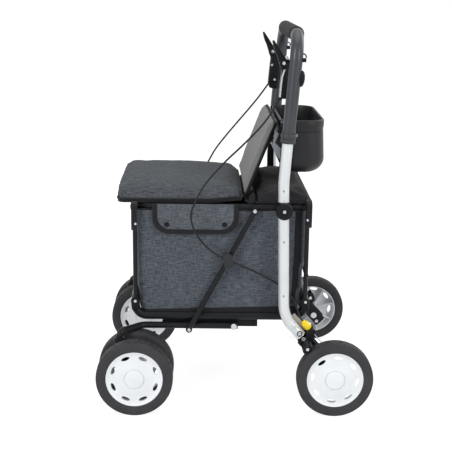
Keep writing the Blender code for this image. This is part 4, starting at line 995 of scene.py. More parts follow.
def makeHousings():
    lean = Vector(handleShape["lean"])
    body = plateFrom("leverHousingRight", hullOutline(leverShape["body"], 36), 0.1680, 0.1928, 0.0)
    softEdges(body, 0.0042, 4)
    ear = plateFrom("ear", hullOutline(leverShape["ear"], 36), 0.1685, 0.1922, 0.0014)
    cutWith(body, ear, "UNION")
    cutWith(body, boxFrom("slot", (0.066, 0.1727, 0.7565), (0.1070, 0.1853, 0.8100), 0.0))
    bridge = boxFrom("bridge", (0.1000, 0.1862, 0.7015), (0.1180, 0.1990, 0.7715), 0.0020)
    saddle = boxFrom("saddle", (0.1100, 0.1895, 0.7300), (0.1335, 0.1990, 0.7520), 0.0020)
    egg = [(0.0, -0.0176), (0.0040, -0.0172), (0.0070, -0.0145), (0.0092, -0.0085), (0.0100, 0.0),
           (0.0092, 0.0085), (0.0070, 0.0145), (0.0040, 0.0172), (0.0, 0.0176)]
    knob = spunFrom("knob", egg, (0.13006, 0.205, 0.7405), lean, 36)
    spout = [(0.0, -0.004), (0.0042, -0.004), (0.0042, 0.0020), (0.0036, 0.0030), (0.0, 0.0030)]
    spout = spunFrom("spout", spout, (0.0897, 0.1790, 0.6962), (-0.52, 0.0, -0.854), 24)
    stub = boxFrom("stub", (0.1270, 0.1995, 0.7752), (0.1415, 0.2105, 0.7836), 0.0012)
    bow = [(0.1325, 0.205, 0.7930), (0.1375, 0.205, 0.7922), (0.1408, 0.205, 0.7890), (0.1416, 0.205, 0.7840)]
    loop = tubeFrom("loop", bow, 0.0015, resolution=4)
    whole = smooth(joined("leverHousingRight", [body, bridge, saddle, knob, spout, stub, loop]), 32.0)
    bothSides(whole, blackPlastic, "handle", "lever_housing_SIDE")
    boot = hullOutline([((0.0955, 0.6865), 0.0068), ((0.1040, 0.6865), 0.0078), ((0.1000, 0.6960), 0.0090)], 32)
    boot = plateFrom("cableBoot", boot, 0.1820, 0.1928, 0.0040)
    hand(smooth(boot), blackPlastic, "handle")
    # pale strip along the housing's front edge: a painted highlight
    edge = [(x, 0.1931, z) for x, z in leverShape["trim"]]
    trim = ribbonFrom("housingTrimRight", edge, 0.0037, 0.0016, (1, 0, 0))
    bothSides(smooth(trim), paleTrimAndHighlight, "handle")
    stop = hullOutline([((0.1005, 0.7845), 0.0022), ((0.1060, 0.7755), 0.0032)], 28)
    stop = plateFrom("leverStopRight", stop, 0.1862, 0.1900, 0.0008)
    bothSides(smooth(stop), paleTrimAndHighlight, "handle")
    x, z = leverShape["pivot"]
    screwSet("housingScrewsRight", [
        ((0.0945, 0.1684, 0.7384), (0, -1, 0), 0.0028, 0.0016, "dome"),
        ((0.1019, 0.1680, 0.7025), (0, -1, 0), 0.0029, 0.0016, "dome"),
        ((x, 0.1922, z), (0, 1, 0), 0.0037, 0.0020, "hex"),
        ((x, 0.1685, z), (0, -1, 0), 0.0037, 0.0020, "hex")], steel, "handle")


def makeLevers():
    root = plateFrom("brakeLeverRight", hullOutline(leverShape["root"], 36), 0.1733, 0.1847, 0.0012)
    clearSelection()
    bpy.ops.mesh.primitive_cube_add(size=1.0, location=(0.0, 0.0, 0.5))
    blade = settle(bpy.context.object, "blade")
    editAll(blade)
    bpy.ops.mesh.subdivide(number_cuts=5)
    leaveEdit()
    (startX, startZ), (endX, endZ) = leverShape["blade"]
    for vertex in blade.data.vertices:   # square bar drawn out into a tapering blade
        share = max(0.0, min(1.0, vertex.co.z))
        thick = 0.0064 + (0.0020 - 0.0064) * share ** 1.6
        wide = 0.0060 + 0.0024 * min(1.0, share * 3.0) - 0.0024 * share ** 6
        x = startX + (endX - startX) * share - 0.0010 * math.sin(math.pi * share)
        middle = Vector((x, 0.179, startZ + (endZ - startZ) * share))
        middle += Vector((0.884, 0.0, 0.467)) * (vertex.co.x * 2.0 * thick)
        middle.y += vertex.co.y * 2.0 * wide
        vertex.co = middle
    applyStep(blade, "SUBSURF", levels=2, render_levels=2)
    lever = smooth(joined("brakeLeverRight", [root, blade]), 40.0)
    bothSides(lever, blackPlastic, "lever_SIDE", "brake_lever_SIDE")


makeHousings()
makeLevers()
print("levers made")


# basket

tub = {   # corners are wall inset, width, floor and height; levels are inset, height, more inset at the front
    "outer": (0.0012, 0.038, 0.5230, 0.033), "inner": (0.0060, 0.035, 0.5264, 0.030), "steps": 9,
    "bulge": 0.0032,
    "wall": [
        (0.0012, 0.6190, 0.0037), (0.0021, 0.6197, 0.0040), (0.0021, 0.6209, 0.0040), (0.0012, 0.6216, 0.0037),
        (0.0012, 0.6258, 0.0036), (0.0010, 0.6264, 0.0014), (0.0010, 0.6288, 0.0012), (0.0003, 0.6291, 0.0002),
        (0.0, 0.6298, 0.0), (0.0, 0.6425, 0.0), (0.0005, 0.6442, 0.0), (0.0020, 0.6455, 0.0),
        (0.0040, 0.6455, 0.0), (0.0051, 0.6449, 0.0), (0.0056, 0.6420, 0.0), (0.0058, 0.6300, 0.0020),
    ],
}


def tubCorner(wall, wide, floor, high):   # quarter of an ellipse from the floor up to the wall
    rows = []
    for number in range(tub["steps"] + 1):
        angle = math.pi / 2.0 * number / tub["steps"]
        rows.append((wall + wide * (1.0 - math.sin(angle)), floor + high * (1.0 - math.cos(angle)),
                     0.0060 - 0.0015 * number / tub["steps"]))
    return rows


def makeBasket():
    rings = []
    levels = tubCorner(*tub["outer"]) + tub["wall"] + tubCorner(*tub["inner"])[::-1]
    for inset, height, front in levels:
        rear = 0.1958 - inset + tub["bulge"] * (1.0 - fade(height, 0.562, 0.628))
        small, big = max(0.030 - inset, 0.008), max(0.045 - inset, 0.008)
        corners = (big, small, small, big)
        outline = roundedOutline(0.094 + inset + front, rear, -0.149 + inset, 0.149 - inset, corners, 8)
        rings.append([(x, y, height - 0.0020 * fade(height, 0.600, 0.615)) for x, y in outline])
    shell = traceLine("basketTub", rings[0] + [rings[0][0]])
    editAll(shell)
    bpy.ops.mesh.remove_doubles(threshold=0.00001)
    for number in range(1, len(rings)):   # the loop is extruded, then each point is put on its level
        bpy.ops.mesh.extrude_region_move(TRANSFORM_OT_translate={"value": (0.0, 0.0, 0.0)})
        work = bmesh.from_edit_mesh(shell.data)
        work.verts.ensure_lookup_table()
        chosen = [vertex for vertex in work.verts if vertex.select]
        offset = shell.location
        for vertex in chosen:
            spot = vertex.co + offset
            index = min(range(len(rings[number - 1])),
                        key=lambda place: (Vector(rings[number - 1][place]) - spot).length_squared)
            vertex.co = Vector(rings[number][index]) - offset
        bmesh.update_edit_mesh(shell.data)
    bpy.ops.mesh.edge_face_add()
    bpy.ops.mesh.select_all(action="DESELECT")
    work = bmesh.from_edit_mesh(shell.data)
    for edge in work.edges:
        edge.select = edge.is_boundary
    bmesh.update_edit_mesh(shell.data)
    bpy.ops.mesh.edge_face_add()
    leaveEdit()
    settle(shell, "basketTub")
    tidyMesh(shell, 0.000002)
    ears = []
    for sign in (1.0, -1.0):
        low, high = sideways(sign, 0.1425, 0.181)
        ears.append(boxFrom("ear", (0.0942, low, 0.6392), (0.1120, high, 0.6422), 0.0008))
        low, high = sideways(sign, 0.166, 0.181)
        ears.append(boxFrom("lip", (0.0941, low, 0.6340), (0.0966, high, 0.6420), 0.0008))
    hand(smooth(joined("basketTub", [shell] + ears), 34.0), basketPlastic, "basket_tub", "basket")


wing = [(0.0812, 0.6244), (0.0990, 0.6150), (0.0990, 0.5600), (0.0930, 0.5622), (0.0823, 0.5788),
        (0.0762, 0.5893), (0.0764, 0.5992)]


def makeWings():   # steel cheek of the basket hanger, with a pale strip along its front: a painted highlight on the fold
    bothSides(smooth(plateFrom("hangerWingRight", wing, 0.1831, 0.1846, 0.0004)), wingMetal, "rear_frame")
    # painted highlight along the fold
    fold = [(0.0853, 0.6170), (0.0873, 0.6165), (0.0871, 0.5850), (0.0851, 0.5862)]
    fold = plateFrom("hangerFoldRight", fold, 0.1824, 0.1832, 0.0002)
    bothSides(smooth(fold), paleTrimAndHighlight, "rear_frame")


makeBasket()
makeWings()
print("basket made")


# soft parts

def remeshed(piece, voxel):
    pick(piece)
    piece.data.remesh_voxel_size = voxel
    piece.data.remesh_voxel_adaptivity = 0.0
    bpy.ops.object.voxel_remesh()
    return piece


def puffed(piece, pressure, cap, pinned, tension=8.0, frames=20):
    rest = [vertex.co.copy() for vertex in piece.data.vertices]
    held = piece.vertex_groups.new(name="held")
    for index, spot in enumerate(rest):
        share = pinned(spot)
        if share > 0.0:
            held.add([index], share, "REPLACE")
    pick(piece)
    cloth = piece.modifiers.new("puff", "CLOTH")
    cloth.settings.quality = 5
    cloth.settings.mass = 0.3
    cloth.settings.tension_stiffness = tension
    cloth.settings.compression_stiffness = tension
    cloth.settings.shear_stiffness = tension * 0.6
    cloth.settings.bending_stiffness = 0.4
    cloth.settings.use_pressure = True
    cloth.settings.uniform_pressure_force = pressure
    cloth.settings.vertex_group_mass = "held"
    cloth.settings.effector_weights.gravity = 0.0
    cloth.collision_settings.use_collision = False
    cloth.point_cache.frame_start = 1
    cloth.point_cache.frame_end = frames
    scene = bpy.context.scene
    for number in range(1, frames + 1):
        scene.frame_set(number)
    bpy.ops.object.modifier_apply(modifier="puff")
    scene.frame_set(1)
    for vertex, spot in zip(piece.data.vertices, rest):
        move = vertex.co - spot
        if move.length > cap:
            vertex.co = spot + move * (cap / move.length)
    piece.vertex_groups.clear()
    return piece


seat = {
    "low": (-0.2635, -0.1700, 0.4692), "high": (0.0135, 0.1700, 0.5040), "voxel": 0.005,
    "pressure": 3.0, "cap": 0.0030, "seams": (-0.110, 0.0, 0.110), "dent": 0.0045, "rise": 0.0060,
    "pressed": 0.958,
}


def cushionTop(x, y):
    height = 0.4990 + 0.0040 * (1.0 - (y / 0.170) ** 2)
    height -= 0.0045 * (1.0 - fade(x, -0.2635, -0.2480)) + 0.0035 * fade(abs(y), 0.1580, 0.1702)
    height -= 0.0060 * fade(x, -0.1400, 0.0000) + 0.0120 * fade(x, -0.0010, 0.0130)
    return height


def rearRise(x):
    return seat["rise"] * fade(x, -0.070, 0.0135)


def pressSeat(piece):   # gives the piece its own copy of the mesh
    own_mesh(piece)


def makeSeatCushion():
    cushion = boxFrom("seatCushion", seat["low"], seat["high"], 0.0)
    remeshed(cushion, seat["voxel"])
    middleX = (seat["low"][0] + seat["high"][0]) / 2.0
    halfX = (seat["high"][0] - seat["low"][0]) / 2.0
    halfY = seat["high"][1]
    top, base = seat["high"][2], seat["low"][2]
    for vertex in cushion.data.vertices:   # boxy pad with a crowned top and a rear edge sloping down
        x, y, z = vertex.co
        u, v = (x - middleX) / halfX, y / halfY
        up = (z - base) / (top - base)
        foot = base + rearRise(x)
        z = foot + up * (cushionTop(x, y) - foot)
        corner = max(0.0, abs(u) + abs(v) - 1.76) / 0.24
        bow = 0.0018 * (1.0 - 4.0 * (up - 0.5) ** 2)
        x += bow * u ** 9 - 0.0085 * corner ** 1.6 * (1.0 if u > 0.0 else -1.0)
        y += bow * v ** 9 - 0.0085 * corner ** 1.6 * (1.0 if v > 0.0 else -1.0)
        vertex.co = (x, y, z)

    def sewnDown(spot):   # the foot and the rear end
        return 1.0 if spot.z < base + rearRise(spot.x) + 0.003 or spot.x > 0.004 else 0.0

    puffed(cushion, seat["pressure"], seat["cap"], sewnDown)
    for vertex in cushion.data.vertices:   # sewn channels that pull the front in, and slow hand wrinkles
        x, y, z = vertex.co
        front = 1.0 - fade(x, seat["low"][0] + 0.004, seat["low"][0] + 0.060)
        if z > base + 0.004:
            for line in seat["seams"]:
                dip = math.exp(-((y - line) / 0.007) ** 2) * front
                vertex.co.x += seat["dent"] * dip
                vertex.co.z -= seat["dent"] * 0.5 * dip
            swell = noise.noise(Vector((x * 16.0, y * 16.0, z * 16.0)))
            vertex.co.z += 0.0010 * swell * fade(z, base + 0.006, base + 0.020) * (1.0 - fade(x, -0.02, 0.0))
    applyStep(cushion, "SUBSURF", levels=1, render_levels=1)
    projectCloth(cushion)
    dress(smooth(cushion, 60.0), cushionCloth, lidCloth)
    for polygon in cushion.data.polygons:   # the rear-facing faces take the dark cloth: painted shade on the face turned from the light, partly a dark binding
        polygon.material_index = 1 if polygon.center.x > 0.005 and polygon.normal.x > 0.40 else 0
    hand(cushion, None, "seat", "seat_cushion")
    pressSeat(cushion)
    outline = denser(roundedOutline(-0.2626, 0.0140, -0.1710, 0.1710, 0.014, 8))
    piping = tubeFrom("seatPiping", [(x, y, 0.4700 + rearRise(x)) for x, y in outline], 0.0018, True, 4)
    hand(smooth(piping), webbing, "seat")
    projectCloth(piping)
    pressSeat(piping)
    outline = denser(roundedOutline(-0.2622, 0.0140, -0.1708, 0.1708, 0.014, 8))
    band = plateFrom("seatBand", outline, 0.4614, 0.4690, 0.0020, "XY")
    for vertex in band.data.vertices:
        vertex.co.z += rearRise(vertex.co.x)
    projectCloth(band)
    hand(smooth(band), webbing, "seat", "seat_pan")
    pressSeat(band)


makeSeatCushion()
print("seat cushion made")


back = {
    "foot": (0.016, 0.0, 0.482), "lean": (0.3605, 0.9327), "half": 0.1580, "low": 0.0020, "high": 0.1735,
    "rear": -0.0045, "front": 0.0030, "voxel": 0.0035, "pressure": 2.5, "cap": 0.0024,
}


def backPlace(across, up, out):
    return Vector((back["foot"][0] + back["lean"][0] * up - back["lean"][1] * out, across,
                   back["foot"][2] + back["lean"][1] * up + back["lean"][0] * out))


def leanBack(piece, name):   # from flat (across, up, out) to its place
    for vertex in piece.data.vertices:
        vertex.co = backPlace(*vertex.co)
    return facesOut(settle(piece, name))


def makeBackrest():
    half, low, high = back["half"], back["low"], back["high"]
    outline = roundedOutline(-half, half, low, high, (0.012, 0.012, 0.005, 0.005), 8)
    pad = plateFrom("backrestPad", outline, back["rear"], back["front"], 0.0, "XY")
    remeshed(pad, back["voxel"])
    for vertex in pad.data.vertices:   # the front face stays flat nearly to its edge
        spot = vertex.co
        reach = min(half - abs(spot.x), spot.y - low, high - spot.y)
        if spot.z > 0.0:
            spot.z -= 0.0022 * (1.0 - fade(reach, 0.0, 0.007))
    puffed(pad, back["pressure"], back["cap"], lambda spot: 1.0 if spot.z < back["rear"] + 0.002 else 0.0)
    for vertex in pad.data.vertices:
        spot = vertex.co
        if spot.z > -0.002:
            spot.z += 0.0005 * noise.noise(Vector((spot.x * 30.0, spot.y * 12.0, 0.0)))
            spot.z = min(spot.z, 0.0030 + 0.0028 * fade(spot.y, 0.030, 0.060))
        spot.y = max(spot.y, low - 0.0004)
    applyStep(pad, "SUBSURF", levels=1, render_levels=1)
    projectCloth(pad)
    leanBack(pad, "backrestPad")
    dress(smooth(pad, 60.0), backCloth, lidCloth)
    upward = Vector((back["lean"][0], 0.0, back["lean"][1]))
    for polygon in pad.data.polygons:   # the top edge is turned over in black
        polygon.material_index = 1 if polygon.normal.dot(upward) > 0.75 else 0
    hand(pad, None, "backrest", "backrest_pad")
    corners = (0.013, 0.013, 0.006, 0.006)
    outline = roundedOutline(-0.1592, 0.1592, 0.0006, 0.1749, corners, 8)
    edge = tubeFrom("backrestPiping", [(u, v, -0.0048) for u, v in outline], 0.0014, True, 4)
    projectCloth(edge)
    hand(smooth(leanBack(edge, "backrestPiping")), webbing, "backrest")
    outline = roundedOutline(-0.1586, 0.1586, 0.0010, 0.1742, corners, 8)
    board = plateFrom("backrestBoard", outline, -0.0104, -0.0052, 0.0016, "XY")
    brackets = [board]
    for y in (0.145, -0.145):   # clips at the top and lugs that reach back to the hinge tube
        brackets.append(boxFrom("clip", (y - 0.009, 0.118, -0.0135), (y + 0.009, 0.150, -0.0090), 0.0012))
        brackets.append(boxFrom("lug", (y - 0.006, -0.002, -0.0215), (y + 0.006, 0.012, -0.0090), 0.0012))
    board = leanBack(joined("backrestBoard", brackets), "backrestBoard")
    hinge = tubeFrom("hinge", [(0.036, -0.162, 0.478), (0.036, 0.162, 0.478)], 0.0045, resolution=5)
    hand(smooth(joined("backrestBoard", [board, hinge])), blackPlastic, "backrest", "backrest_board")
    rearward = (back["lean"][1], 0.0, -back["lean"][0])
    spots = []
    for sign in (1.0, -1.0):
        for up in (0.126, 0.142):
            spots.append((backPlace(sign * 0.145, up, -0.0134), rearward, 0.0036, 0.0022, "dome"))
    screwSet("backrestScrews", spots, steel, "backrest", False)


makeBackrest()
print("backrest made")


lid = {
    "low": (0.0425, -0.1700, 0.4622), "high": (0.1660, 0.1700, 0.4850), "voxel": 0.0045, "pressure": 2.5,
    "cap": 0.0060, "middle": 0.1042, "halfLong": 0.0618, "halfWide": 0.170, "rise": 0.0228, "seam": 0.1530,
}


def makeLid():
    cover = boxFrom("bagLid", lid["low"], lid["high"], 0.0)
    remeshed(cover, lid["voxel"])
    for vertex in cover.data.vertices:
        x, y, z = vertex.co
        u = (x - lid["middle"]) / lid["halfLong"]
        v = y / lid["halfWide"]
        up = (z - lid["low"][2]) / lid["rise"]
        corner = max(0.0, abs(u) + abs(v) - 1.70) / 0.30
        x -= 0.0060 * corner ** 1.5 * (1.0 if u > 0.0 else -1.0)
        y -= 0.0060 * corner ** 1.5 * (1.0 if v > 0.0 else -1.0)
        z -= up * 0.0055 * (abs(v) ** 10 + abs(u) ** 8) * 0.7
        vertex.co = (x, y, z)
    puffed(cover, lid["pressure"], lid["cap"], lambda spot: 1.0 if spot.z < 0.4642 else 0.0)
    for vertex in cover.data.vertices:   # slack folds across the cover
        x, y, z = vertex.co
        if z > 0.4720:
            fold = math.sin(y * 34.0 + 2.6 * noise.noise(Vector((x * 22.0, y * 9.0, 0.3))))
            fold = fold * math.sin((x - 0.05) / 0.112 * math.pi)
            vertex.co.z += 0.0009 * fold + 0.0016 * noise.noise(Vector((x * 38.0, y * 14.0, 1.7)))
            vertex.co.z -= 0.0022 * math.exp(-((x - lid["seam"]) / 0.0022) ** 2)
    applyStep(cover, "SUBSURF", levels=1, render_levels=1)
    projectCloth(cover)
    hand(smooth(cover, 60.0), lidCloth, "seat", "bag_lid")
    line = [(0.0200, 0.0, 0.4632), (0.0320, 0.0, 0.4636), (0.0440, 0.0, 0.4645)]
    tail = ribbonFrom("lidFlap", line, 0.320, 0.0014, (0, 1, 0))
    projectCloth(tail)
    hand(smooth(tail), lidCloth, "seat")
    outline = roundedOutline(0.0422, 0.1674, -0.1715, 0.1715, 0.010, 6)
    rim = tubeFrom("lidPiping", [(x, y, 0.4640) for x, y in outline], 0.0019, True, 4)
    projectCloth(rim)
    hand(smooth(rim), webbing, "seat")
    stitches = []
    for row in (0.1500, 0.1560):   # two rows of stitches beside the rear binding
        for number in range(44):
            y = -0.154 + 0.308 * number / 43.0
            stitches.append((row, y))
    hand(stitchRow("lidStitches", stitches, cover), threadFinish, "seat")


def stitchRow(name, spots, ground):   # short raised threads set on a piece's surface
    bits = []
    tree = BVHTree.FromPolygons([vertex.co for vertex in ground.data.vertices],
                                [polygon.vertices for polygon in ground.data.polygons])
    thread = [(0.0, -0.0014), (0.00035, -0.0010), (0.00045, 0.0), (0.00035, 0.0010), (0.0, 0.0014)]
    first = spunFrom("stitch", thread, (0, 0, 0), (0, 1, 0), 6)
    for x, y in spots:
        hit = tree.ray_cast(Vector((x, y, 0.60)), Vector((0.0, 0.0, -1.0)))[0]
        if hit is None:
            continue
        bits.append(copyOf(first, "stitch", (hit.x, hit.y, hit.z + 0.0001)))
    bpy.data.objects.remove(first, do_unlink=True)
    return smooth(joined(name, bits), 60.0)


threadFinish = hardFinish("sewingThread", (62, 62, 66), (92, 92, 96), 0.7, 0.0, 3000.0, 0.4, 0.0)
makeLid()
print("lid made")


bagShape = {
    "front": -0.2148, "rear": 0.1465, "half": 0.1720, "low": 0.2085, "high": 0.4485, "voxel": 0.006,
    "wall": 0.0016,
}


def setBag(piece):   # both end panels lean out towards the stays, and the black foot gets higher to the rear
    front, rear, low = bagShape["front"], bagShape["rear"], bagShape["low"]
    for vertex in piece.data.vertices:
        x, y, z = vertex.co
        ahead = 1.0 - fade(x, front + 0.006, front + 0.030)
        behind = fade(x, rear - 0.030, rear - 0.006)
        x -= ahead * (0.0050 * fade(z, 0.252, 0.275) + 0.0036 * fade(z, 0.275, 0.445))
        x += 0.0056 * behind * (fade(z, 0.252, 0.275) + fade(z, 0.310, 0.335))
        lift = fade(z, low + 0.0035, low + 0.0062) - fade(z, low + 0.0062, low + 0.050)
        z += 0.0130 * (x - front) / (rear - front) * lift
        vertex.co = (x, y, z)
    return piece


def makeBag():
    front, rear, half = bagShape["front"], bagShape["rear"], bagShape["half"]
    low, high = bagShape["low"], bagShape["high"]
    outline = roundedOutline(front, rear, -half, half, (0.010, 0.014, 0.014, 0.010), 8)
    body = plateFrom("bagBody", outline, low, high, 0.0, "XY")
    remeshed(body, bagShape["voxel"])
    middle = (front + rear) / 2.0
    for vertex in body.data.vertices:   # rounded foot, panels that sag between their seams
        x, y, z = vertex.co
        drop = max(0.0, 0.0180 - (z - low)) / 0.0180
        pull = 0.0080 * drop ** 2.0
        x += -pull if x > middle else pull
        y += -pull if y > 0.0 else pull
        run = math.sin(math.pi * max(0.0, min(1.0, (z - low - 0.008) / (high - low - 0.008))))
        ease = (1.0 - ((x - middle) / (rear - front) * 2.0) ** 4) * run
        slack = (1.0 - (y / half) ** 4) * run
        wave = noise.noise(Vector((x * 9.0, y * 9.0, z * 7.0)))
        wave = wave + 0.5 * noise.noise(Vector((x * 21.0, y * 21.0, z * 13.0)))
        if abs(y) > half - 0.012:
            y += (-0.0026 * ease + 0.0022 * wave * ease) * (1.0 if y > 0.0 else -1.0)
        if x > rear - 0.012 or x < front + 0.012:
            x += (-0.0030 * slack + 0.0022 * wave * slack) * (1.0 if x > middle else -1.0)
        if z < low + 0.002:
            z += 0.0016 * max(0.0, noise.noise(Vector((x * 11.0, y * 11.0, 4.0))))
        vertex.co = (x, y, z)
    bpy.ops.object.mode_set(mode="EDIT")
    bpy.ops.mesh.select_all(action="DESELECT")
    work = bmesh.from_edit_mesh(body.data)
    for face in work.faces:
        face.select = face.normal.z > 0.7 and face.calc_center_median().z > high - 0.006
    bmesh.update_edit_mesh(body.data)
    bpy.ops.mesh.delete(type="FACE")
    leaveEdit()
    applyStep(body, "SOLIDIFY", thickness=bagShape["wall"], offset=-1.0)
    dress(body, bagCloth, lidCloth)
    for polygon in body.data.polygons:
        polygon.material_index = 1 if polygon.center.z < low + 0.0062 else 0
    setBag(body)
    applyStep(body, "SUBSURF", levels=1, render_levels=1)
    projectCloth(body)
    facesOut(body)
    return smooth(body, 60.0)


def ringLine(inset, height, radius):
    outline = roundedOutline(bagShape["front"] + inset, bagShape["rear"] - inset, -bagShape["half"] + inset,
                             bagShape["half"] - inset, radius, 8)
    return [(x, y, height) for x, y in outline]


def denserLine(line):
    height = line[0][2]
    return [(x, y, height) for x, y in denser([spot[:2] for spot in line])]


def foldAway(piece):   # gives the piece its own copy of the mesh
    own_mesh(piece)


def makeBagDetails():
    body = makeBag()
    trims = [tubeFrom("foot", denserLine(ringLine(0.0046, 0.2114, 0.0140)), 0.0030, True, 5)]
    for sign in (1.0, -1.0):
        spots = [(0.1320, sign * 0.1716, 0.2190 + 0.2280 * number / 12.0) for number in range(13)]
        trims.append(ribbonFrom("edge", spots, 0.0100, 0.0016, (1, 0, 0)))
    mouth = [(max(x, bagShape["front"] + 0.0026), y, z) for x, y, z in ringLine(0.0004, 0.4470, 0.0150)]
    trims.append(tubeFrom("mouth", denserLine(mouth), 0.0020, True, 4))
    trim = setBag(joined("bagBinding", trims))
    projectCloth(trim)
    hand(body, None, "seat", "bag")
    hand(smooth(trim), webbing, "seat")
    foldAway(body)
    foldAway(trim)


makeBagDetails()
print("bag made")


flap = {
    "front": -0.1850, "rear": 0.0058, "low": 0.3930, "high": 0.4610, "out": 0.1785, "corner": 0.036,
    "binding": 0.0105, "snaps": [(-0.1532, 0.4142), (-0.0253, 0.4150)],
}


def flapOutline(inset):
    points = []
    low, front, rear = flap["low"] + inset, flap["front"] + inset, flap["rear"] - inset
    radius = flap["corner"] - inset * 0.6
    points.append((rear, flap["high"]))
    for number in range(9):
        angle = -math.pi * 0.5 * number / 8.0
        points.append((rear - radius + radius * math.cos(angle), low + radius + radius * math.sin(angle)))
    for number in range(9):
        angle = -math.pi * 0.5 * (1.0 + number / 8.0)
        points.append((front + radius + radius * math.cos(angle), low + radius + radius * math.sin(angle)))
    points.append((front, flap["high"]))
    return points


def makeFlaps():   # pocket flap on each side, bound in black, with two snaps
    out = flap["out"]
    panel = plateFrom("pocketFlapRight", flapOutline(0.0030), out - 0.0022, out - 0.0006, 0.0004)
    remeshed(panel, 0.0030)
    outer, inner = flapOutline(0.0), flapOutline(flap["binding"])
    strip = traceLine("flapBindingRight", [(x, out, z) for x, z in outer])
    editAll(strip)
    bpy.ops.mesh.extrude_region_move(TRANSFORM_OT_translate={"value": (0.0, 0.0, 0.0)})
    work = bmesh.from_edit_mesh(strip.data)
    for vertex in [vertex for vertex in work.verts if vertex.select]:
        spot = vertex.co + strip.location
        index = min(range(len(outer)), key=lambda place: math.dist(outer[place], (spot.x, spot.z)))
        vertex.co = Vector((inner[index][0], out, inner[index][1])) - strip.location
    bmesh.update_edit_mesh(strip.data)
    leaveEdit()
    settle(strip, "flapBindingRight")
    applyStep(strip, "SOLIDIFY", thickness=0.0030, offset=0.0)
    tidyMesh(strip)
    softEdges(strip, 0.0009, 2, 50.0)
    stud = [(0.0, 0.0), (0.0058, 0.0), (0.0058, 0.0008), (0.0052, 0.0016), (0.0036, 0.0020), (0.0028, 0.0017),
            (0.0016, 0.0015), (0.0, 0.0015)]
    snaps = [spunFrom("snap", stud, (x, out - 0.0008, z), (0, 1, 0), 32) for x, z in flap["snaps"]]
    snap = smooth(joined("flapSnapsRight", snaps))
    for piece in (panel, strip, snap):   # the flap hangs a little away at its foot
        for vertex in piece.data.vertices:
            hang = (flap["high"] - vertex.co.z) / (flap["high"] - flap["low"])
            wave = noise.noise(Vector((vertex.co.x * 24.0, 0.0, vertex.co.z * 24.0)))
            vertex.co.y += 0.0016 * math.sin(math.pi * hang) + 0.0008 * wave
    for piece in (panel, strip):
        projectCloth(piece)
    for piece, material in ((panel, flapCloth), (strip, webbing), (snap, blackPlastic)):
        other = copyOf(piece, piece.name.replace("Right", "Left"), mirrored=True)
        for made in (piece, other):
            dress(smooth(made, 50.0), material)
            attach(made, "seat")
            foldAway(made)


makeFlaps()
print("flaps made")


def makeStraps():   # webbing tabs that hang the bag on the seat ring, outside the stays
    front = [(-0.2245, y, z) for y, z in (
        (0.1650, 0.4640), (0.1780, 0.4637), (0.1885, 0.4590), (0.1902, 0.4450), (0.1900, 0.4250),
        (0.1888, 0.4100), (0.1870, 0.4030))]
    rear = [(0.1608, y, z) for y, z in (
        (0.1650, 0.4700), (0.1800, 0.4692), (0.1893, 0.4630), (0.1905, 0.4450), (0.1903, 0.4250),
        (0.1890, 0.4150), (0.1868, 0.4115))]
    pieces = []
    for label, line, width in (("frontStrapRight", front, 0.0130), ("rearStrapRight", rear, 0.0125)):
        strap = ribbonFrom(label, smoothRoute(line, 22), width, 0.0014, (1, 0, 0))
        projectCloth(strap)
        pieces.append(smooth(strap, 50.0))
    stud = [(0.0, -0.001), (0.0028, -0.001), (0.0028, 0.0004), (0.0020, 0.0012), (0.0, 0.0014)]
    places = [(0.1572, 0.1909, 0.4290), (-0.2215, 0.1904, 0.4176)]
    snaps = [spunFrom("strapSnap", stud, spot, (0, 1, 0), 28) for spot in places]
    snap = smooth(joined("strapSnapsRight", snaps))
    for piece, material in ((pieces[0], webbing), (pieces[1], webbing), (snap, steel)):
        bothSides(piece, material, "seat")


makeStraps()
print("straps made")


# seat ring, lower frame and links

lower = {
    "deckX": (-0.2235, 0.158), "deckY": 0.168, "deckLow": 0.2008, "deckHigh": 0.241, "deck": 0.0095,
}


def makeLowerFrame():
    (x0, x1), y, low, high = lower["deckX"], lower["deckY"], lower["deckLow"], lower["deckHigh"]
    corners = [(x0, -y, low), (x1, -y, low), (x1, -y, high), (x1, y, high), (x1, y, low), (x0, y, low),
               (x0, y, high), (x0, -y, high)]
    line = bentLine(corners, [0.025, 0.025, 0.0115, 0.0115] * 2, 7.5, True)
    loop = tubeFrom("lowerFrame", line, lower["deck"], True, 6)
    parts = [loop]
    for sign in (1.0, -1.0):
        discs = [((0.1085, 0.241), 0.0110), ((0.1020, 0.2060), 0.0040), ((0.1150, 0.2060), 0.0040)]
        lug = hullOutline(discs, 32)
        parts.append(plateFrom("lug", lug, *sideways(sign, 0.1738, 0.184), 0.0010))
        parts.append(spunFrom("boss", [(0.0, 0.0), (0.009, 0.0), (0.009, 0.0105), (0.0, 0.0105)],
                              (0.1085, sign * 0.182, 0.241), (0, sign, 0), 36))
    hand(smooth(joined("lowerFrame", parts)), blackTube, "deck", "base_frame")
    corners = []
    for x in (x0, x1):   # moulded corner lugs that hold the stay feet
        for sign in (1.0, -1.0):
            outline = hullOutline([((x, 0.2395), 0.0095), ((x, 0.2230), 0.0075)], 28)
            corners.append(plateFrom("corner", outline, *sideways(sign, 0.1770, 0.1895), 0.0020))
    hand(smooth(joined("cornerLugs", corners)), blackPlastic, "deck")
    spots = []
    for x in (x0, x1):
        for sign in (1.0, -1.0):
            spots.append(((x + 0.0006, sign * 0.1895, 0.2400), (0, sign, 0), 0.0033, 0.0020, "dome"))
    screwSet("cornerScrews", spots, steel, "deck", False)


swivel = (-0.2575, 0.218)   # upright axis of the right caster


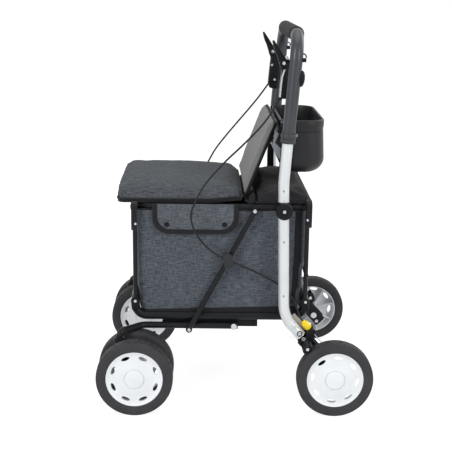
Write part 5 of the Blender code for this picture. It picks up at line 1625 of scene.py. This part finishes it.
def makeArms():
    corners = [(0.0080, 0.170, 0.1770), (-0.2080, 0.170, 0.1782), (*swivel, 0.1782), (*swivel, 0.1246)]
    line = bentLine(corners, [0.0, 0.030, 0.0155, 0.0], 5.0)
    arm = smooth(tubeFrom("casterArmRight", line, 0.0075, resolution=7))
    bothSides(arm, blackTube, "arm_SIDE", "caster_arm_SIDE")
    screw = ((-0.001, 0.1776, 0.177), (0, 1, 0), 0.0072, 0.0030, "dome")
    screwSet("armScrewRight", [screw], steel, "arm_SIDE")
    ring = [(0.0076, 0.1625), (0.0108, 0.1625), (0.0114, 0.1630), (0.0114, 0.1645), (0.0108, 0.1650),
            (0.0076, 0.1650)]
    ring = spunFrom("swivelRingRight", ring, (*swivel, 0.0), (0, 0, 1), 36, True)
    bothSides(smooth(ring), blackTube, "arm_SIDE")


def makeForks():
    stem = spunFrom("casterForkRight", [
        (0.0, 0.1120), (0.0090, 0.1120), (0.0106, 0.1136), (0.0112, 0.1180), (0.0115, 0.1530), (0.0122, 0.1556),
        (0.0124, 0.1572), (0.0124, 0.1606), (0.0118, 0.1620), (0.0078, 0.1622), (0.0078, 0.1240),
        (0.0, 0.1240)],
        (*swivel, 0.0), (0, 0, 1), 40)
    hub = (-wheelShape["axleX"], wheelShape["radius"])
    beam = hullOutline([(hub, 0.0128), ((swivel[0], 0.1160), 0.0078)], 36)
    beam = plateFrom("beam", beam, 0.2082, 0.2278, 0.0018)
    web = [(-0.2480, 0.1180), (-0.2480, 0.1460), (-0.2400, 0.1300), (-0.2270, 0.1060), (-0.2390, 0.1020)]
    web = plateFrom("web", web, 0.2130, 0.2230, 0.0014)
    fork = smooth(joined("casterForkRight", [stem, beam, web]))
    bothSides(fork, blackPlastic, "caster_SIDE", "caster_fork_SIDE")


def makeLinks():
    line = bentLine([(-0.2225, -0.183, 0.235), (-0.2234, -0.183, 0.436), (-0.2290, -0.183, 0.455),
                     (-0.2290, 0.183, 0.455), (-0.2234, 0.183, 0.436), (-0.2225, 0.183, 0.235)],
                     [0.0, 0.020, 0.010, 0.010, 0.020, 0.0], 7.5)
    hand(smooth(tubeFrom("frontStay", line, 0.0050, resolution=6)), blackTube, "front_link", "front_stay")
    parts = [tubeFrom("leg", [(0.1578, y, 0.460), (0.1580, y, 0.235)], 0.0050, resolution=6)
             for y in (0.183, -0.183)]
    parts.append(tubeFrom("bar", [(0.1600, -0.183, 0.300), (0.1600, 0.183, 0.300)], 0.0045, resolution=6))
    hand(smooth(joined("rearStay", parts)), blackTube, "rear_link", "rear_stay")


strut = {
    "top": (0.041, 0.4475), "foot": (-0.1025, 0.1725),
    "clip": [((-0.0250, 0.3455), 0.0025), ((-0.0275, 0.3480), 0.0016), ((-0.0192, 0.3530), 0.0018),
             ((-0.0100, 0.3475), 0.0022), ((-0.0065, 0.3245), 0.0022), ((-0.0212, 0.3200), 0.0025)],
    "pins": [(-0.0195, 0.3492), (-0.0160, 0.3240)],
}


def strutPoint(along, aside):
    top = Vector((strut["top"][0], 0.0, strut["top"][1]))
    foot = Vector((strut["foot"][0], 0.0, strut["foot"][1]))
    way = (foot - top).normalized()
    spot = top + way * along + Vector((-way.z, 0.0, way.x)) * aside
    return (spot.x, spot.z)


def makeStruts():
    outline = [strutPoint(*place) for place in (
        (0.170, -0.0056), (0.170, 0.0056), (0.003, 0.0060), (-0.0030, 0.0052), (-0.0060, 0.0028),
        (-0.0066, 0.0), (-0.0060, -0.0028), (-0.0030, -0.0052), (0.003, -0.0060))]
    flat = plateFrom("strutRight", outline, 0.1846, 0.1878, 0.0008)
    points = [strutPoint(along, 0.0) for along in (0.148, 0.156, 0.170, 0.290, 0.3075)]
    bar = tubeFrom("bar", [(x, 0.0, z) for x, z in points], 0.0061, resolution=6,
                   radii=[0.72, 0.92, 1.0, 1.0, 0.98])
    for vertex in bar.data.vertices:
        vertex.co.y = 0.1830 + vertex.co.y * 0.78
    (topX, topZ), (footX, footZ) = strut["top"], strut["foot"]
    end = [(0.0, 0.1784), (0.0062, 0.1784), (0.0074, 0.1794), (0.0074, 0.1868), (0.0062, 0.1878), (0.0, 0.1878)]
    end = spunFrom("end", end, (footX, 0.0, footZ), (0, 1, 0), 32)
    bothSides(smooth(joined("strutRight", [flat, bar, end])), blackTube, "strut_link_SIDE", "strut_SIDE")
    screwSet("strutScrewsRight", [((topX, 0.1878, topZ), (0, 1, 0), 0.0044, 0.0028, "dome"),
                                  ((footX, 0.1878, footZ), (0, 1, 0), 0.0040, 0.0028, "dome")],
             steel, "strut_link_SIDE")
    clip = plateFrom("cableClipRight", hullOutline(strut["clip"], 28), 0.1881, 0.1911, 0.0007)
    cover = plateFrom("cover", hullOutline(strut["clip"], 28), 0.1990, 0.2009, 0.0007)   # over the cable
    pin = [(0.0, 0.1900), (0.0021, 0.1900), (0.0021, 0.2000), (0.0, 0.2000)]
    pins = [spunFrom("pin", pin, (x, 0.0, z), (0, 1, 0), 20) for x, z in strut["pins"]]
    clip = joined("cableClipRight", [clip, cover] + pins)
    bothSides(smooth(clip), clipPlastic, "strut_link_SIDE", "cable_clip_SIDE")


makeLowerFrame()
makeArms()
makeForks()
makeLinks()
makeStruts()
print("frame and links made")


# brackets, adjusters and brake shoes

bracket = {"spot": (0.143, 0.175), "way": (0.6647, -0.7471)}   # where the post ends, and down along it


def alongBracket(along, across):
    (x, z), (wayX, wayZ) = bracket["spot"], bracket["way"]
    return (x + wayX * along - wayZ * across, z + wayZ * along + wayX * across)


def makeAdjusters():
    middle = alongBracket(0.0, 0.0240)
    way = Vector((bracket["way"][0], 0.0, bracket["way"][1]))
    knob = spunFrom("cableAdjusterRight", [
        (0.0, -0.0135), (0.0034, -0.0135), (0.0042, -0.0128), (0.0046, -0.0095), (0.0062, -0.0088),
        (0.0076, -0.0082), (0.0080, -0.0070), (0.0080, 0.0070), (0.0076, 0.0082), (0.0062, 0.0088),
        (0.0042, 0.0090), (0.0040, 0.0106), (0.0, 0.0106)],
        (0, 0, 0), (0, 0, 1), 72)
    for vertex in knob.data.vertices:   # grip ridges
        reach = math.hypot(vertex.co.x, vertex.co.y)
        if reach > 0.0072 and abs(vertex.co.z) < 0.0084:
            angle = math.atan2(vertex.co.y, vertex.co.x)
            size = 1.0 - 0.055 * (0.5 + 0.5 * math.cos(angle * 18.0))
            vertex.co.x *= size
            vertex.co.y *= size
    aim(knob, (middle[0], 0.205, middle[1]), way, "cableAdjusterRight")
    bothSides(smooth(knob, 30.0), yellowPlastic, "adjuster_SIDE", "cable_adjuster_SIDE")
    line = [(middle[0] + way.x * 0.0116, 0.205, middle[1] + way.z * 0.0116),
            alongBracketSpot(0.034, 0.0245, 0.2150), (0.2135, 0.2245, 0.1385)]
    wire = tubeFrom("brakeWireRight", line, 0.0009, resolution=3)
    bothSides(smooth(wire), steel, "rear_frame")


def alongBracketSpot(along, across, y):
    x, z = alongBracket(along, across)
    return (x, y, z)


def makeBracketScrews():
    places = [((0.1540, 0.2200, 0.1628), (0, 1, 0), 0.0046, 0.0024, "hex"),
              ((0.1962, 0.1895, 0.1304), (0, -1, 0), 0.0040, 0.0022, "dome"),
              ((0.2112, 0.1862, 0.1326), (0, -1, 0), 0.0044, 0.0024, "dome"),
              ((0.2298, 0.1895, 0.0680), (0, -1, 0), 0.0042, 0.0022, "dome")]
    screwSet("bracketScrewsRight", places, steel, "rear_frame")
    boss = [(0.0, -0.001), (0.0110, -0.001), (0.0110, 0.0024), (0.0102, 0.0034), (0.0, 0.0034)]
    boss = spunFrom("bracketBossRight", boss, (0.2112, 0.1895, 0.1326), (0, -1, 0), 32)
    bothSides(smooth(boss), blackPlastic, "rear_frame")
    x, z = alongBracket(0.1310, 0.0)
    screw = ((x, 0.2200, z), (0, 1, 0), 0.0044, 0.0022, "dome")
    screwSet("bracketTailScrewRight", [screw], steel, "rear_frame")
    line = [alongBracketSpot(along, 0.0150, 0.1925) for along in (-0.036, 0.0100)]
    strip = ribbonFrom("guideStripRight", line, 0.0100, 0.0016, (-bracket["way"][1], 0.0, bracket["way"][0]))
    bothSides(smooth(strip), zincPlate, "rear_frame")
    screwSet("shoeScrewsRight", [((0.213, 0.2264, 0.128), (0, 1, 0), 0.0042, 0.0018, "dome"),
                                 ((0.1589, 0.2640, 0.1548), (0, 1, 0), 0.0036, 0.0018, "dome")],
             steel, "brake_SIDE")


makeAdjusters()
makeBracketScrews()
for side in ("left", "right"):
    dressNode("rear_bracket_" + side, blackTube)
    dressNode("brake_shoe_" + side, blackPlastic)
    dressNode("rear_axle_" + side, steel)
    dressNode("front_axle_" + side, steel)
for name in ("seat_ring", "basket_hanger"):
    dressNode(name, blackTube)
dressNode("carrier_tray", blackPlastic)
print("brackets and small parts made")

bpy.context.view_layer.update()
